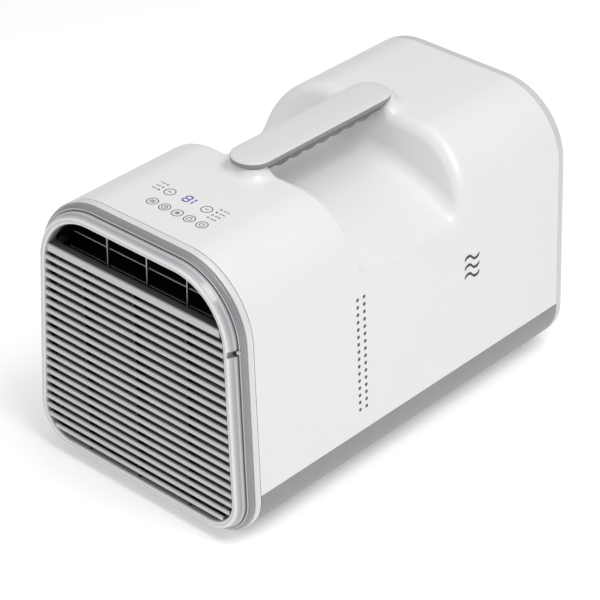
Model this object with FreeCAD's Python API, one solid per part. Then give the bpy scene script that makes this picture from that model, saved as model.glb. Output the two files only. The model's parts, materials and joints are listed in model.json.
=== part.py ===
# Portable air conditioner: small carry-along unit with a front panel, a top handle and a rear collar.
# Millimetres. +Z up, the front faces -Y, the origin is on the floor under the middle of the unit.
import FreeCAD
import Part
import math
import os

Vector = FreeCAD.Vector

# ---- overall sizes -------------------------------------------------------
SHELL_LENGTH = 483.0      # shell, front seam to rear seam
BODY_HEIGHT = 310.0       # shell and base together, without feet and handle
BOTTOM_WIDTH = 308.0      # width where the sides would meet the floor plane of the base
SIDE_LEAN = 0.0536        # each side leans in by this much per millimetre of height
TOP_RADIUS = 82.0         # upper corners of the cross-section
BOTTOM_RADIUS = 51.0      # lower corners of the cross-section
FOOT_HEIGHT = 4.0
WALL = 2.5                # moulded shell wall
GAP = 0.4                 # clearance between bodies that only sit beside each other

# ---- base ----------------------------------------------------------------
BASE_HEIGHT = 57.0        # grey base, from its underside up to the seam
BASE_WALL = 3.0
FOOT_RADIUS = 13.0
FOOT_X = 100.0
FOOT_Y = (70.0, 400.0)    # from the front seam

# ---- front ---------------------------------------------------------------
BEZEL_DEPTH = 26.0        # front frame, from the seam to the face of the grille
FRAME_INSET = 18.6        # from the outside of the body to the inside of the frame
RING_DEPTH = 8.0          # light ring next to the seam
SILL_BAR = 4.0            # bar under the air outlet, part of the front panel
SLAT_PITCH = 10.9
SLAT_HEIGHT = 5.6
SLAT_DEPTH = 2.4
NOTCH_Z = 232.0           # finger notches in the sides of the front frame
NOTCH_HEIGHT = 7.0
NOTCH_INSET = 12.0

# ---- rear ----------------------------------------------------------------
REAR_DEPTH = 9.7
COLLAR_RADIUS = 62.0

# ---- hand scoop and handle -------------------------------------------------
SCOOP_FRONT = 157.0       # front wall of the scoop, from the front seam
SCOOP_REAR = 312.0        # rear wall of the scoop at its floor
SCOOP_REAR_LEAN = 0.27    # the rear wall leans back by this much per millimetre
SCOOP_EDGE = 80.0         # depth of the scoop floor at the sides, below the top
SCOOP_CREST = 44.0        # depth of the scoop floor in the middle, below the top
SCOOP_FRONT_RADIUS = 26.0
SCOOP_REAR_RADIUS = 13.0
RIM_RADIUS = 5.0
HANDLE_WIDTH = 46.0
HANDLE_OVERHANG = 29.0    # handle ends, beyond the scoop walls at the top
HANDLE_RISE = 11.0        # underside of the handle cap above the top of the body
HANDLE_THICK = 8.0
GRIP_WIDTH = 30.0
GRIP_DEPTH = 15.0
FINGER_PITCH = 21.0

# ---- inner parts -----------------------------------------------------------
WHEEL_RADIUS = 66.0
WHEEL_DEPTH = 46.0
FAN_RADIUS = 88.0
COMPRESSOR_RADIUS = 52.0
COMPRESSOR_HEIGHT = 128.0
SHAFT_RADIUS = 4.0
SHAFT_FIT = 0.05          # running fit of the two fan bores on their shafts

# ---- worked out from the sizes above -----------------------------------------
TOP_Z = FOOT_HEIGHT + BODY_HEIGHT
SEAM_Z = FOOT_HEIGHT + BASE_HEIGHT
SILL_Z = FOOT_HEIGHT + BODY_HEIGHT * 0.816
PANEL_TOP = SILL_Z - SILL_BAR - 0.5
MID_Y = (SHELL_LENGTH + REAR_DEPTH - BEZEL_DEPTH) / 2
SLOPE = math.sqrt(1 + SIDE_LEAN ** 2)
REAR_TOP = SCOOP_REAR + SCOOP_REAR_LEAN * SCOOP_EDGE
FLOOR_Z = FOOT_HEIGHT + BASE_WALL          # inside floor of the base
DRAIN_Z = FLOOR_Z + 18
FITTING_INSET = BASE_WALL + GAP            # parts that slip inside the shell and the base

nodes = {}


# ---- helpers ---------------------------------------------------------------
def half_width(z):
    """Half the outside width of the body at height z."""
    return BOTTOM_WIDTH / 2 - SIDE_LEAN * (z - FOOT_HEIGHT)


def block(x0, x1, y0, y1, z0, z1):
    """A plain box between two corners."""
    return Part.makeBox(x1 - x0, y1 - y0, z1 - z0, Vector(x0, y0, z0))


def rod(x, y, z, radius, length, axis):
    """A cylinder that starts at a point and runs along an axis."""
    return Part.makeCylinder(radius, length, Vector(x, y, z), axis)


def rounded(points, radii):
    """A closed wire through the points with its corners rounded."""
    corners = []
    count = len(points)
    for i in range(count):
        corner = points[i]
        back = (points[i - 1] - corner).normalize()
        ahead = (points[(i + 1) % count] - corner).normalize()
        radius = radii[i]
        if radius <= 0:
            corners.append((corner, None, corner))
            continue
        half = back.getAngle(ahead) / 2
        reach = radius / math.tan(half)
        inward = (back + ahead).normalize()
        middle = corner + inward * (radius / math.sin(half) - radius)
        corners.append((corner + back * reach, middle, corner + ahead * reach))
    edges = []
    for i in range(count):
        start, middle, end = corners[i]
        if middle is not None:
            edges.append(Part.Arc(start, middle, end).toShape())
        following = corners[(i + 1) % count][0]
        if end.distanceToPoint(following) > 1e-6:
            edges.append(Part.makeLine(end, following))
    return Part.Wire(edges)


def outline(inset, y):
    """Cross-section of the body at y, drawn in by the inset."""
    top = TOP_Z - inset
    bottom = FOOT_HEIGHT + inset
    wide_top = half_width(top) - inset * SLOPE
    wide_bottom = half_width(bottom) - inset * SLOPE
    points = [Vector(-wide_bottom, y, bottom), Vector(wide_bottom, y, bottom),
              Vector(wide_top, y, top), Vector(-wide_top, y, top)]
    low = BOTTOM_RADIUS - inset
    high = TOP_RADIUS - inset
    return rounded(points, [low, low, high, high])


def prism(wire, length):
    """A wire filled and pulled along +Y."""
    return Part.Face(wire).extrude(Vector(0, length, 0))


def body_slice(inset, y0, y1):
    """Solid with the body's cross-section between two stations."""
    return prism(outline(inset, y0), y1 - y0)


def stepped(sections):
    """Solid through a row of (inset, y) cross-sections, straight between them."""
    return Part.makeLoft([outline(inset, y) for inset, y in sections], True, True)


def below(z):
    return block(-400, 400, -200, 900, -100, z)


def above(z):
    return block(-400, 400, -200, 900, z, 900)


def stadium(cx, cy, z, half_x, half_y):
    """Slot-shaped wire lying flat at height z."""
    radius = min(half_x, half_y) * 0.999
    points = [Vector(cx - half_x, cy - half_y, z), Vector(cx + half_x, cy - half_y, z),
              Vector(cx + half_x, cy + half_y, z), Vector(cx - half_x, cy + half_y, z)]
    return rounded(points, [radius] * 4)


def slab(wire, height):
    """A flat wire filled and pulled up along +Z."""
    return Part.Face(wire).extrude(Vector(0, 0, height))


def tube(points, radius, bend):
    """Round bar through a row of points with bent corners."""
    edges = []
    start = points[0]
    for i in range(1, len(points) - 1):
        corner = points[i]
        back = (points[i - 1] - corner).normalize()
        ahead = (points[i + 1] - corner).normalize()
        half = back.getAngle(ahead) / 2
        reach = bend / math.tan(half)
        inward = (back + ahead).normalize()
        middle = corner + inward * (bend / math.sin(half) - bend)
        edges.append(Part.makeLine(start, corner + back * reach))
        edges.append(Part.Arc(corner + back * reach, middle, corner + ahead * reach).toShape())
        start = corner + ahead * reach
    edges.append(Part.makeLine(start, points[-1]))
    path = Part.Wire(edges)
    heading = (points[1] - points[0]).normalize()
    ring = Part.Wire([Part.makeCircle(radius, points[0], heading)])
    return path.makePipeShell([ring], True, False)


def union(shapes):
    """One shape out of several that touch."""
    first = shapes[0]
    if len(shapes) == 1:
        return first
    return first.fuse(shapes[1:]).removeSplitter()


def mirror_x(shape):
    return shape.mirror(Vector(0, 0, 0), Vector(1, 0, 0))


# ---- base ------------------------------------------------------------------
def make_base():
    pan = body_slice(0, 0, SHELL_LENGTH).cut(body_slice(BASE_WALL, -1, SHELL_LENGTH + 1))
    pan = pan.common(below(SEAM_Z - GAP / 2))
    dam = BASE_WALL + 0.001
    front_wall = body_slice(0, 10, 10 + BASE_WALL).common(below(FLOOR_Z + 7))
    rear_wall = body_slice(0, SHELL_LENGTH - BASE_WALL, SHELL_LENGTH).common(below(DRAIN_Z + 12))
    ribs = []
    for y in (SCOOP_FRONT - 8, SHELL_LENGTH * 0.74):
        rib = body_slice(BASE_WALL - 0.5, y, y + dam).common(below(FLOOR_Z + 7))
        ribs.append(rib)
    pan = union([pan, front_wall, rear_wall] + ribs)
    drain = rod(0, SHELL_LENGTH - 20, DRAIN_Z, 5.0, 40, Vector(0, 1, 0))
    boss = rod(0, SHELL_LENGTH - 16, DRAIN_Z, 9.0, 16, Vector(0, 1, 0))
    pan = pan.fuse(boss).cut(drain)
    for x in (-FOOT_X, FOOT_X):
        for y in FOOT_Y:
            pan = pan.cut(rod(x, y, FOOT_HEIGHT - 1, 4.2, BASE_WALL + 2, Vector(0, 0, 1)))
    return pan.removeSplitter()


nodes["base_pan"] = make_base()


def make_foot(x, y):
    pad = Part.makeCone(FOOT_RADIUS - 1.5, FOOT_RADIUS, FOOT_HEIGHT - 0.2, Vector(x, y, 0))
    stem = rod(x, y, FOOT_HEIGHT - 0.5, 4.0, BASE_WALL + 1.5, Vector(0, 0, 1))
    barb = Part.makeCone(5.6, 4.4, 2.4, Vector(x, y, FLOOR_Z + 0.8))
    return union([pad, stem, barb])


nodes["foot_front_left"] = make_foot(-FOOT_X, FOOT_Y[0])
nodes["foot_front_right"] = make_foot(FOOT_X, FOOT_Y[0])
nodes["foot_rear_left"] = make_foot(-FOOT_X, FOOT_Y[1])
nodes["foot_rear_right"] = make_foot(FOOT_X, FOOT_Y[1])


def make_drain_plug():
    y = SHELL_LENGTH + REAR_DEPTH
    stem = rod(0, SHELL_LENGTH - 12, DRAIN_Z, 4.8, REAR_DEPTH + 12, Vector(0, 1, 0))
    cap = rod(0, y - 4, DRAIN_Z, 8.0, 4, Vector(0, 1, 0))
    return union([stem, cap])


nodes["drain_plug"] = make_drain_plug()


# ---- shell with the hand scoop ---------------------------------------------
def scoop_section(x, grow):
    """Side view of the scoop at x, grown outward by the wall."""
    ratio = min(abs(x) / half_width(TOP_Z - SCOOP_EDGE), 1.25)
    depth = SCOOP_CREST + (SCOOP_EDGE - SCOOP_CREST) * ratio ** 2
    floor = TOP_Z - depth - grow
    lid = TOP_Z + 60
    front = SCOOP_FRONT - grow
    rear = SCOOP_REAR + grow
    rear_floor = rear + SCOOP_REAR_LEAN * (SCOOP_EDGE - depth)
    rear_lid = rear + SCOOP_REAR_LEAN * (SCOOP_EDGE + 60)
    points = [Vector(x, front, floor), Vector(x, rear_floor, floor),
              Vector(x, rear_lid, lid), Vector(x, front, lid)]
    return rounded(points, [SCOOP_FRONT_RADIUS + grow, SCOOP_REAR_RADIUS + grow, 0, 0])


def make_scoop(grow):
    """Space that the hand scoop takes out of the shell."""
    reach = half_width(TOP_Z - SCOOP_EDGE) * 1.2
    stations = [-reach, -reach * 0.75, -reach * 0.5, -reach * 0.25, 0,
                reach * 0.25, reach * 0.5, reach * 0.75, reach]
    return Part.makeLoft([scoop_section(x, grow) for x in stations], True, False)


def post(cy, reach):
    """Flared post that carries one end of the handle."""
    top = TOP_Z + HANDLE_RISE
    rows = [(-3.0, 40, 28), (0.3, 34, 23), (3.0, 27, 18), (6.5, 22.5, 15.5), (HANDLE_RISE, 20, 14)]
    wires = [stadium(0, cy, TOP_Z + dz, hx, hy * reach) for dz, hx, hy in rows]
    flare = Part.makeLoft(wires, True, False)
    return flare.common(below(top - 0.001))


def make_casing():
    outer = body_slice(0, 0, SHELL_LENGTH)
    skin = outer.cut(body_slice(WALL, -1, SHELL_LENGTH + 1))
    scoop = make_scoop(0)
    lining = make_scoop(WALL).common(outer)
    casing = skin.fuse(lining).cut(scoop)
    casing = casing.common(above(SEAM_Z + GAP / 2)).removeSplitter()
    shell_skin = outer.Shells[0]
    scoop_skin = scoop.Shells[0]
    rim = []
    for edge in casing.Edges:
        middle = edge.valueAt((edge.FirstParameter + edge.LastParameter) / 2)
        spot = Part.Vertex(middle)
        if spot.distToShape(shell_skin)[0] < 0.01 and spot.distToShape(scoop_skin)[0] < 0.01:
            rim.append(edge)
    casing = casing.makeFillet(RIM_RADIUS, rim)
    front_post = post(SCOOP_FRONT - 12, 1.0)
    rear_post = post(REAR_TOP + 12, 1.0)
    hollow = body_slice(WALL, 1, SHELL_LENGTH - 1)
    posts = front_post.fuse(rear_post).cut(scoop).cut(hollow)
    casing = casing.fuse(posts).removeSplitter()
    return casing


def vent_holes():
    """Two upright rows of small air holes, for one side."""
    holes = []
    pitch = BODY_HEIGHT * 0.0279
    top = FOOT_HEIGHT + BODY_HEIGHT * 0.688
    for y in (SCOOP_FRONT - 6, SCOOP_FRONT + 4):
        for i in range(16):
            z = top - i * pitch
            x = half_width(z)
            holes.append(rod(x - 8, y, z, 2.2, 16, Vector(1, 0, 0)))
    return holes


def make_upper_casing():
    casing = make_casing()
    right = vent_holes()
    left = [mirror_x(hole) for hole in right]
    casing = casing.cut(Part.makeCompound(right + left))
    for y in (SCOOP_FRONT - 14, REAR_TOP + 14):
        casing = casing.cut(rod(0, y, TOP_Z - 6, 2.6, 30, Vector(0, 0, 1)))
    return casing


nodes["upper_casing"] = make_upper_casing()


def make_casing_screws():
    """Screws that hold the base to the shell, seen from below."""
    screws = []
    for y in (24, SHELL_LENGTH / 2, SHELL_LENGTH - 24):
        for side in (-1, 1):
            x = side * (half_width(SEAM_Z) - WALL - 7)
            head = rod(x, y, SEAM_Z - 9, 3.6, 2.4, Vector(0, 0, 1))
            shank = rod(x, y, SEAM_Z - 7, 1.6, 14, Vector(0, 0, 1))
            screws.append(head.fuse(shank).removeSplitter())
    return Part.makeCompound(screws)


def make_screw_lugs(lower):
    """Lugs inside the seam that the casing screws pass through."""
    lugs = []
    for y in (24, SHELL_LENGTH / 2, SHELL_LENGTH - 24):
        for side in (-1, 1):
            x = side * (half_width(SEAM_Z) - WALL - 7)
            if lower:
                z0 = SEAM_Z - 6.4
                z1 = SEAM_Z - GAP / 2
                hole = 1.8
            else:
                z0 = SEAM_Z + GAP / 2
                z1 = SEAM_Z + 9
                hole = 1.62
            reach = side * (half_width(SEAM_Z) - WALL / 2 - 0.6)
            lug = block(min(x, reach), max(x, reach), y - 5, y + 5, z0, z1)
            lug = lug.fuse(rod(x, y, z0, 5, z1 - z0, Vector(0, 0, 1)))
            lugs.append(lug.cut(rod(x, y, z0 - 1, hole, z1 - z0 + 2, Vector(0, 0, 1))))
    return lugs


nodes["base_pan"] = union([nodes["base_pan"]] + make_screw_lugs(True))
nodes["upper_casing"] = union([nodes["upper_casing"]] + make_screw_lugs(False))
nodes["casing_screws"] = make_casing_screws()


# ---- handle ----------------------------------------------------------------
HANDLE_FRONT = SCOOP_FRONT - HANDLE_OVERHANG
HANDLE_REAR = REAR_TOP + HANDLE_OVERHANG - 9
HANDLE_MID = (HANDLE_FRONT + HANDLE_REAR) / 2
HANDLE_HALF = (HANDLE_REAR - HANDLE_FRONT) / 2


def make_handle_cap():
    z = TOP_Z + HANDLE_RISE
    half = HANDLE_WIDTH / 2
    rows = [(0, 1.5), (1.2, 0), (HANDLE_THICK - 2.2, 0), (HANDLE_THICK - 0.8, 1.2), (HANDLE_THICK, 4.0)]
    wires = [stadium(0, HANDLE_MID, z + dz, half - inset, HANDLE_HALF - inset) for dz, inset in rows]
    return Part.makeLoft(wires, True, True)


def make_handle_grip():
    """Soft grip under the cap with a wavy underside for the fingers."""
    top = TOP_Z + HANDLE_RISE - 0.001
    front = SCOOP_FRONT + 0.5
    rear = REAR_TOP - 0.5
    count = int((rear - front - 24) / FINGER_PITCH)
    start = (front + rear - count * FINGER_PITCH) / 2
    low = top - GRIP_DEPTH
    edges = []
    edges.append(Part.makeLine(Vector(0, front, top), Vector(0, front, low + 3)))
    edges.append(Part.makeLine(Vector(0, front, low + 3), Vector(0, start, low + 3)))
    for i in range(count):
        y = start + i * FINGER_PITCH
        middle = Vector(0, y + FINGER_PITCH / 2, low)
        end = Vector(0, y + FINGER_PITCH, low + 3)
        edges.append(Part.Arc(Vector(0, y, low + 3), middle, end).toShape())
    edges.append(Part.makeLine(Vector(0, start + count * FINGER_PITCH, low + 3), Vector(0, rear, low + 3)))
    edges.append(Part.makeLine(Vector(0, rear, low + 3), Vector(0, rear, top)))
    edges.append(Part.makeLine(Vector(0, rear, top), Vector(0, front, top)))
    face = Part.Face(Part.Wire(edges))
    face.translate(Vector(-GRIP_WIDTH / 2, 0, 0))
    return face.extrude(Vector(GRIP_WIDTH, 0, 0))


def make_handle_screws():
    screws = []
    for y in (SCOOP_FRONT - 14, REAR_TOP + 14):
        head = rod(0, y, TOP_Z - 6, 4.2, 3, Vector(0, 0, 1))
        shank = rod(0, y, TOP_Z - 4, 2.0, HANDLE_RISE + 8, Vector(0, 0, 1))
        screws.append(head.fuse(shank).removeSplitter())
    return Part.makeCompound(screws)


nodes["handle_screws"] = make_handle_screws()
nodes["handle_grip"] = make_handle_grip()
cap = make_handle_cap()
for screw_y in (SCOOP_FRONT - 14, REAR_TOP + 14):
    cap = cap.cut(rod(0, screw_y, TOP_Z, 2.05, HANDLE_RISE + 4.5, Vector(0, 0, 1)))
nodes["handle_cap"] = cap


# ---- front -----------------------------------------------------------------
def make_front_ring():
    ring = stepped([(0.6, -RING_DEPTH), (0.0, -RING_DEPTH + 0.6), (0.0, -0.4)])
    ring = ring.cut(body_slice(FITTING_INSET + 1.8, -RING_DEPTH - 1, 1))
    lip = body_slice(FITTING_INSET, -1.2, 6).cut(body_slice(FITTING_INSET + 1.8, -2, 7))
    return union([ring, lip])


nodes["front_ring"] = make_front_ring()

BEAD = [(7.2, -9.0), (7.2, -16.5), (8.6, -19.0), (9.4, -22.0), (10.6, -24.4), (12.4, -25.7),
        (14.4, -26.0), (16.2, -25.4), (17.4, -24.2)]


def frame_body():
    """Rounded frame round the front, with a finger notch in each side."""
    frame = stepped([(inset, y) for inset, y in BEAD])
    frame = frame.cut(body_slice(FRAME_INSET, -BEZEL_DEPTH - 5, 5))
    reach = half_width(NOTCH_Z) - NOTCH_INSET
    for x0, x1 in ((-200, -reach), (reach, 200)):
        frame = frame.cut(block(x0, x1, -40, 5, NOTCH_Z - NOTCH_HEIGHT / 2, NOTCH_Z + NOTCH_HEIGHT / 2))
    return frame


def make_front_bezel():
    band = stepped([(1.2, -RING_DEPTH - GAP), (1.2, -11.0), (4.6, -14.6), (6.4, -14.6)][::-1])
    band = band.cut(body_slice(7.2, -30, 5))
    carrier = body_slice(6.9, -14.0, -0.5).cut(body_slice(FRAME_INSET - 7, -30, 5))
    spigot = body_slice(FITTING_INSET + 2.0, -9.5, 8).cut(body_slice(FRAME_INSET - 7, -30, 9))
    throat = body_slice(FRAME_INSET - 7.5, -12.0, 6).cut(body_slice(FRAME_INSET, -30, 9))
    throat = throat.common(above(SILL_Z - SILL_BAR))
    return union([band, carrier, spigot, throat])


nodes["front_bezel"] = make_front_bezel()


def slat(z):
    """One slat of the intake, a thin bar with rounded edges."""
    face = -BEZEL_DEPTH + 1.0
    points = [Vector(-200, face, z - SLAT_HEIGHT / 2), Vector(-200, face + SLAT_DEPTH, z - SLAT_HEIGHT / 2 + 0.8),
              Vector(-200, face + SLAT_DEPTH, z + SLAT_HEIGHT / 2), Vector(-200, face, z + SLAT_HEIGHT / 2 - 0.3)]
    wire = rounded(points, [0.9, 0.4, 0.4, 0.9])
    return Part.Face(wire).extrude(Vector(400, 0, 0))


PANEL_BACK = -14.6


def make_front_panel():
    frame = frame_body().cut(body_slice(0, PANEL_BACK, 5))
    rail = body_slice(FRAME_INSET - 2.2, -BEZEL_DEPTH + 2.5, -15).cut(body_slice(FRAME_INSET + 2.4, -30, 5))
    rail = rail.common(below(PANEL_TOP))
    sill = body_slice(FRAME_INSET - 1, -BEZEL_DEPTH + 1, -15)
    sill = sill.common(above(PANEL_TOP - 2)).common(below(SILL_Z))
    opening = body_slice(FRAME_INSET - 1.5, -30, 5).common(below(PANEL_TOP))
    slats = []
    z = PANEL_TOP - SLAT_PITCH + SLAT_HEIGHT / 2 - 1.0
    while z > FOOT_HEIGHT + FRAME_INSET + SLAT_HEIGHT:
        slats.append(slat(z).common(opening))
        z -= SLAT_PITCH
    ribs = []
    for x in (-72, 0, 72):
        rib = block(x - 1.2, x + 1.2, -BEZEL_DEPTH + 2.9, -15, FOOT_HEIGHT + 10, PANEL_TOP)
        ribs.append(rib.common(opening))
    header = block(-200, 200, -BEZEL_DEPTH + 2, -15, PANEL_TOP - 4, PANEL_TOP).common(opening)
    return union([frame, rail, sill, header] + ribs + slats)


nodes["front_panel"] = make_front_panel()



def make_catches():
    """Two short studs in the frame's seam that the front panel snaps over."""
    studs = []
    for side in (-1, 1):
        x = side * (half_width(NOTCH_Z + 2) - 5.2)
        studs.append(rod(x, -18.4, NOTCH_Z + 2, 1.9, 3.8, Vector(0, 1, 0)))
    studs = [stud.makeFillet(0.9, [stud.Edges[2]]) for stud in studs]
    return Part.makeCompound(studs)


nodes["panel_catches"] = make_catches()

FILTER_INSET = FRAME_INSET + 6


def make_filter():
    area = body_slice(FILTER_INSET, -15.0, -11.0).common(below(PANEL_TOP - 6))
    core = body_slice(FILTER_INSET + 5, -20, 0).common(below(PANEL_TOP - 11))
    bars = [block(-1.5, 1.5, -15.0, -11.0, FOOT_HEIGHT + FILTER_INSET, PANEL_TOP - 8)]
    for i in (1, 2):
        z = FOOT_HEIGHT + FILTER_INSET + i * (PANEL_TOP - FILTER_INSET) / 3
        bar = block(-200, 200, -15.0, -11.0, z - 1.5, z + 1.5)
        bars.append(bar.common(area))
    frame = union([area.cut(core)] + bars)
    net = body_slice(FILTER_INSET + 3, -13.4, -12.6).common(below(PANEL_TOP - 9))
    return frame, net


filter_frame, filter_net = make_filter()
nodes["filter_frame"] = filter_frame.cut(filter_net)
nodes["filter_net"] = filter_net

# ---- air outlet --------------------------------------------------------------
DUCT_REAR = 112.0
DUCT_FLOOR = SILL_Z - 30


def make_outlet_duct():
    skin = body_slice(FRAME_INSET - 2.5, 7, DUCT_REAR).common(above(DUCT_FLOOR))
    room = body_slice(FRAME_INSET, 0, DUCT_REAR - 2.5).common(above(DUCT_FLOOR + 2.5))
    duct = skin.cut(room)
    throat = block(-WHEEL_RADIUS - 10, -4, 62, 104, DUCT_FLOOR - 10, DUCT_FLOOR + 10)
    return duct.cut(throat).removeSplitter()


nodes["outlet_duct"] = make_outlet_duct()

LOUVRE_Y = 14.0
LOUVRE_Z = (SILL_Z - 18.6, SILL_Z + 1.3)
LOUVRE_CHORD = 14.0


def outlet_half(z):
    """Half the width of the air outlet at height z, round corners included."""
    centre = half_width(TOP_Z - TOP_RADIUS) - TOP_RADIUS * SLOPE
    radius = TOP_RADIUS - FRAME_INSET
    rise = min(max(z - TOP_Z + TOP_RADIUS, 0), radius)
    return centre + math.sqrt(radius ** 2 - rise ** 2)


def make_louvre(z):
    """Flat blade that tips the air up or down, with a pin at each end."""
    width = outlet_half(z + LOUVRE_CHORD * 0.32) - 2.5
    points = [Vector(-width, LOUVRE_Y - LOUVRE_CHORD / 2, z - 0.8), Vector(-width, LOUVRE_Y, z - 1.5),
              Vector(-width, LOUVRE_Y + LOUVRE_CHORD / 2, z - 0.8), Vector(-width, LOUVRE_Y + LOUVRE_CHORD / 2, z + 0.8),
              Vector(-width, LOUVRE_Y, z + 1.5), Vector(-width, LOUVRE_Y - LOUVRE_CHORD / 2, z + 0.8)]
    blade = Part.Face(rounded(points, [0.7, 4, 0.7, 0.7, 4, 0.7])).extrude(Vector(2 * width, 0, 0))
    pin = rod(-width - 2, LOUVRE_Y, z, 1.4, 2 * width + 4, Vector(1, 0, 0))
    return blade.fuse(pin).removeSplitter()


for label, height in zip(("lower", "upper"), LOUVRE_Z):
    nodes["louvre_" + label] = make_louvre(height)

VANE_PITCH = 55.3
VANE_Y = -1.0
VANE_CHORD = 3.2


def make_vane(x):
    """Upright vane that turns the air left or right."""
    low = SILL_Z - 26.0
    high = TOP_Z - FRAME_INSET - 3.0
    front = VANE_Y - VANE_CHORD / 2
    rear = VANE_Y + VANE_CHORD / 2
    points = [Vector(x - 0.7, front, low), Vector(x + 0.7, front, low),
              Vector(x + 0.5, rear, low), Vector(x - 0.5, rear, low)]
    blade = Part.Face(rounded(points, [0.5, 0.5, 0.3, 0.3])).extrude(Vector(0, 0, high - low))
    pin = rod(x, VANE_Y, low - 1.0, 1.2, high - low + 2.0, Vector(0, 0, 1))
    return blade.fuse(pin).removeSplitter()


for label, place in zip(("left", "middle", "right"), (-VANE_PITCH, 0.0, VANE_PITCH)):
    nodes["vane_" + label] = make_vane(place)

# ---- cold side -----------------------------------------------------------------
EVAP_Y0 = 14.0
EVAP_Y1 = 42.0
EVAP_Z0 = FLOOR_Z + 22
EVAP_Z1 = DUCT_FLOOR - 14
EVAP_HALF = half_width(EVAP_Z0) - 52


def fin_core(half, y0, y1, z0, z1, pitch):
    """Stack of thin fins joined by their hairpin sleeves."""
    fins = []
    x = -half
    while x <= half:
        fins.append(block(x, x + 0.5, y0, y1, z0, z1))
        x += pitch
    spine = block(-half, half + 0.5, (y0 + y1) / 2 - 0.6, (y0 + y1) / 2 + 0.6, z0, z1)
    return union([spine] + fins)


def hairpins(half, y, z0, z1, rows, radius, over):
    """Copper tubes across a core with return bends at both ends."""
    pitch = (z1 - z0) / rows
    points = []
    for i in range(rows):
        z = z0 + pitch * (i + 0.5)
        side = -1 if i % 2 == 0 else 1
        points.append(Vector(side * (half + over), y, z))
        points.append(Vector(-side * (half + over), y, z))
    return tube(points, radius, min(over * 0.7, pitch * 0.45))


nodes["evaporator_tubes"] = hairpins(EVAP_HALF, (EVAP_Y0 + EVAP_Y1) / 2, EVAP_Z0, EVAP_Z1, 7, 3.5, 15)
evap_core = fin_core(EVAP_HALF, EVAP_Y0, EVAP_Y1, EVAP_Z0, EVAP_Z1, 4.0)
nodes["evaporator_fins"] = evap_core.cut(nodes["evaporator_tubes"])


def make_drip_tray():
    z = FLOOR_Z + 8
    outer = block(-EVAP_HALF - 18, EVAP_HALF + 18, EVAP_Y0 - 5, EVAP_Y1 + 8, z, z + 16)
    inner = block(-EVAP_HALF - 16, EVAP_HALF + 16, EVAP_Y0 - 3, EVAP_Y1 + 6, z + 2, z + 20)
    return outer.cut(inner)


nodes["drip_tray"] = make_drip_tray()

WHEEL_Y0 = 62.0
WHEEL_Z = FLOOR_Z + 22 + WHEEL_RADIUS + 14
SCROLL_RADIUS = WHEEL_RADIUS + 12


def make_scroll():
    y0 = WHEEL_Y0 - 6
    y1 = WHEEL_Y0 + WHEEL_DEPTH + 8
    skin = rod(0, y0, WHEEL_Z, SCROLL_RADIUS, y1 - y0, Vector(0, 1, 0))
    skin = skin.fuse(block(-SCROLL_RADIUS, 0, y0, y1, WHEEL_Z, DUCT_FLOOR - 0.4))
    room = rod(0, y0 + 2, WHEEL_Z, SCROLL_RADIUS - 2, y1 - y0 - 4, Vector(0, 1, 0))
    room = room.fuse(block(-SCROLL_RADIUS + 2, -2, y0 + 2, y1 - 2, WHEEL_Z, DUCT_FLOOR + 5))
    mouth = rod(0, y0 - 1, WHEEL_Z, WHEEL_RADIUS - 14, 4, Vector(0, 1, 0))
    back = rod(0, y1 - 4, WHEEL_Z, 24, 8, Vector(0, 1, 0))
    return skin.cut(room).cut(mouth).cut(back).removeSplitter()


nodes["blower_scroll"] = make_scroll()


def make_wheel():
    """Squirrel-cage wheel with forward-curved blades."""
    y0 = WHEEL_Y0
    y1 = WHEEL_Y0 + WHEEL_DEPTH
    plate = rod(0, y1 - 2, WHEEL_Z, WHEEL_RADIUS, 2, Vector(0, 1, 0))
    ring = rod(0, y0, WHEEL_Z, WHEEL_RADIUS, 3, Vector(0, 1, 0))
    ring = ring.cut(rod(0, y0 - 1, WHEEL_Z, WHEEL_RADIUS - 12, 5, Vector(0, 1, 0)))
    hub = rod(0, y1 - 18, WHEEL_Z, 11, 18, Vector(0, 1, 0))
    blades = []
    for i in range(28):
        blade = block(WHEEL_RADIUS - 11, WHEEL_RADIUS - 1, y0 + 1, y1 - 1, WHEEL_Z - 0.6, WHEEL_Z + 0.6)
        blade.rotate(Vector(WHEEL_RADIUS - 11, 0, WHEEL_Z), Vector(0, 1, 0), 28)
        blade.rotate(Vector(0, 0, WHEEL_Z), Vector(0, 1, 0), i * 360.0 / 28)
        blades.append(blade)
    wheel = union([plate, ring, hub] + blades)
    return wheel.cut(rod(0, y0, WHEEL_Z, SHAFT_RADIUS + SHAFT_FIT, WHEEL_DEPTH + 1, Vector(0, 1, 0)))


nodes["blower_wheel"] = make_wheel()


def make_motor(y0, length, radius, z, shaft_from, shaft_to):
    """Round motor can with end bosses and its shaft."""
    can = rod(0, y0, z, radius, length, Vector(0, 1, 0))
    can = can.makeFillet(4, can.Edges)
    shaft = rod(0, shaft_from, z, SHAFT_RADIUS, shaft_to - shaft_from, Vector(0, 1, 0))
    return union([can, shaft])


BULKHEAD_Y = SCOOP_FRONT + 3
nodes["blower_motor"] = make_motor(WHEEL_Y0 + WHEEL_DEPTH + 3, BULKHEAD_Y - WHEEL_Y0 - WHEEL_DEPTH - 3, 21,
                                   WHEEL_Z, WHEEL_Y0 + WHEEL_DEPTH - 18, WHEEL_Y0 + WHEEL_DEPTH + 6)


def make_bulkhead():
    wall = body_slice(WALL + 4, BULKHEAD_Y + 0.3, BULKHEAD_Y + 3.3)
    wall = wall.common(below(TOP_Z - SCOOP_EDGE - WALL - 6)).common(above(FLOOR_Z + 8))
    slot = block(70, 90, BULKHEAD_Y - 5, BULKHEAD_Y + 8, FLOOR_Z + 20, FLOOR_Z + 60)
    return wall.cut(slot)


nodes["bulkhead"] = make_bulkhead()

# ---- compressor ------------------------------------------------------------------
COMP_X = -38.0
COMP_Y = SCOOP_FRONT + 72
COMP_Z = FLOOR_Z + 14


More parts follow.
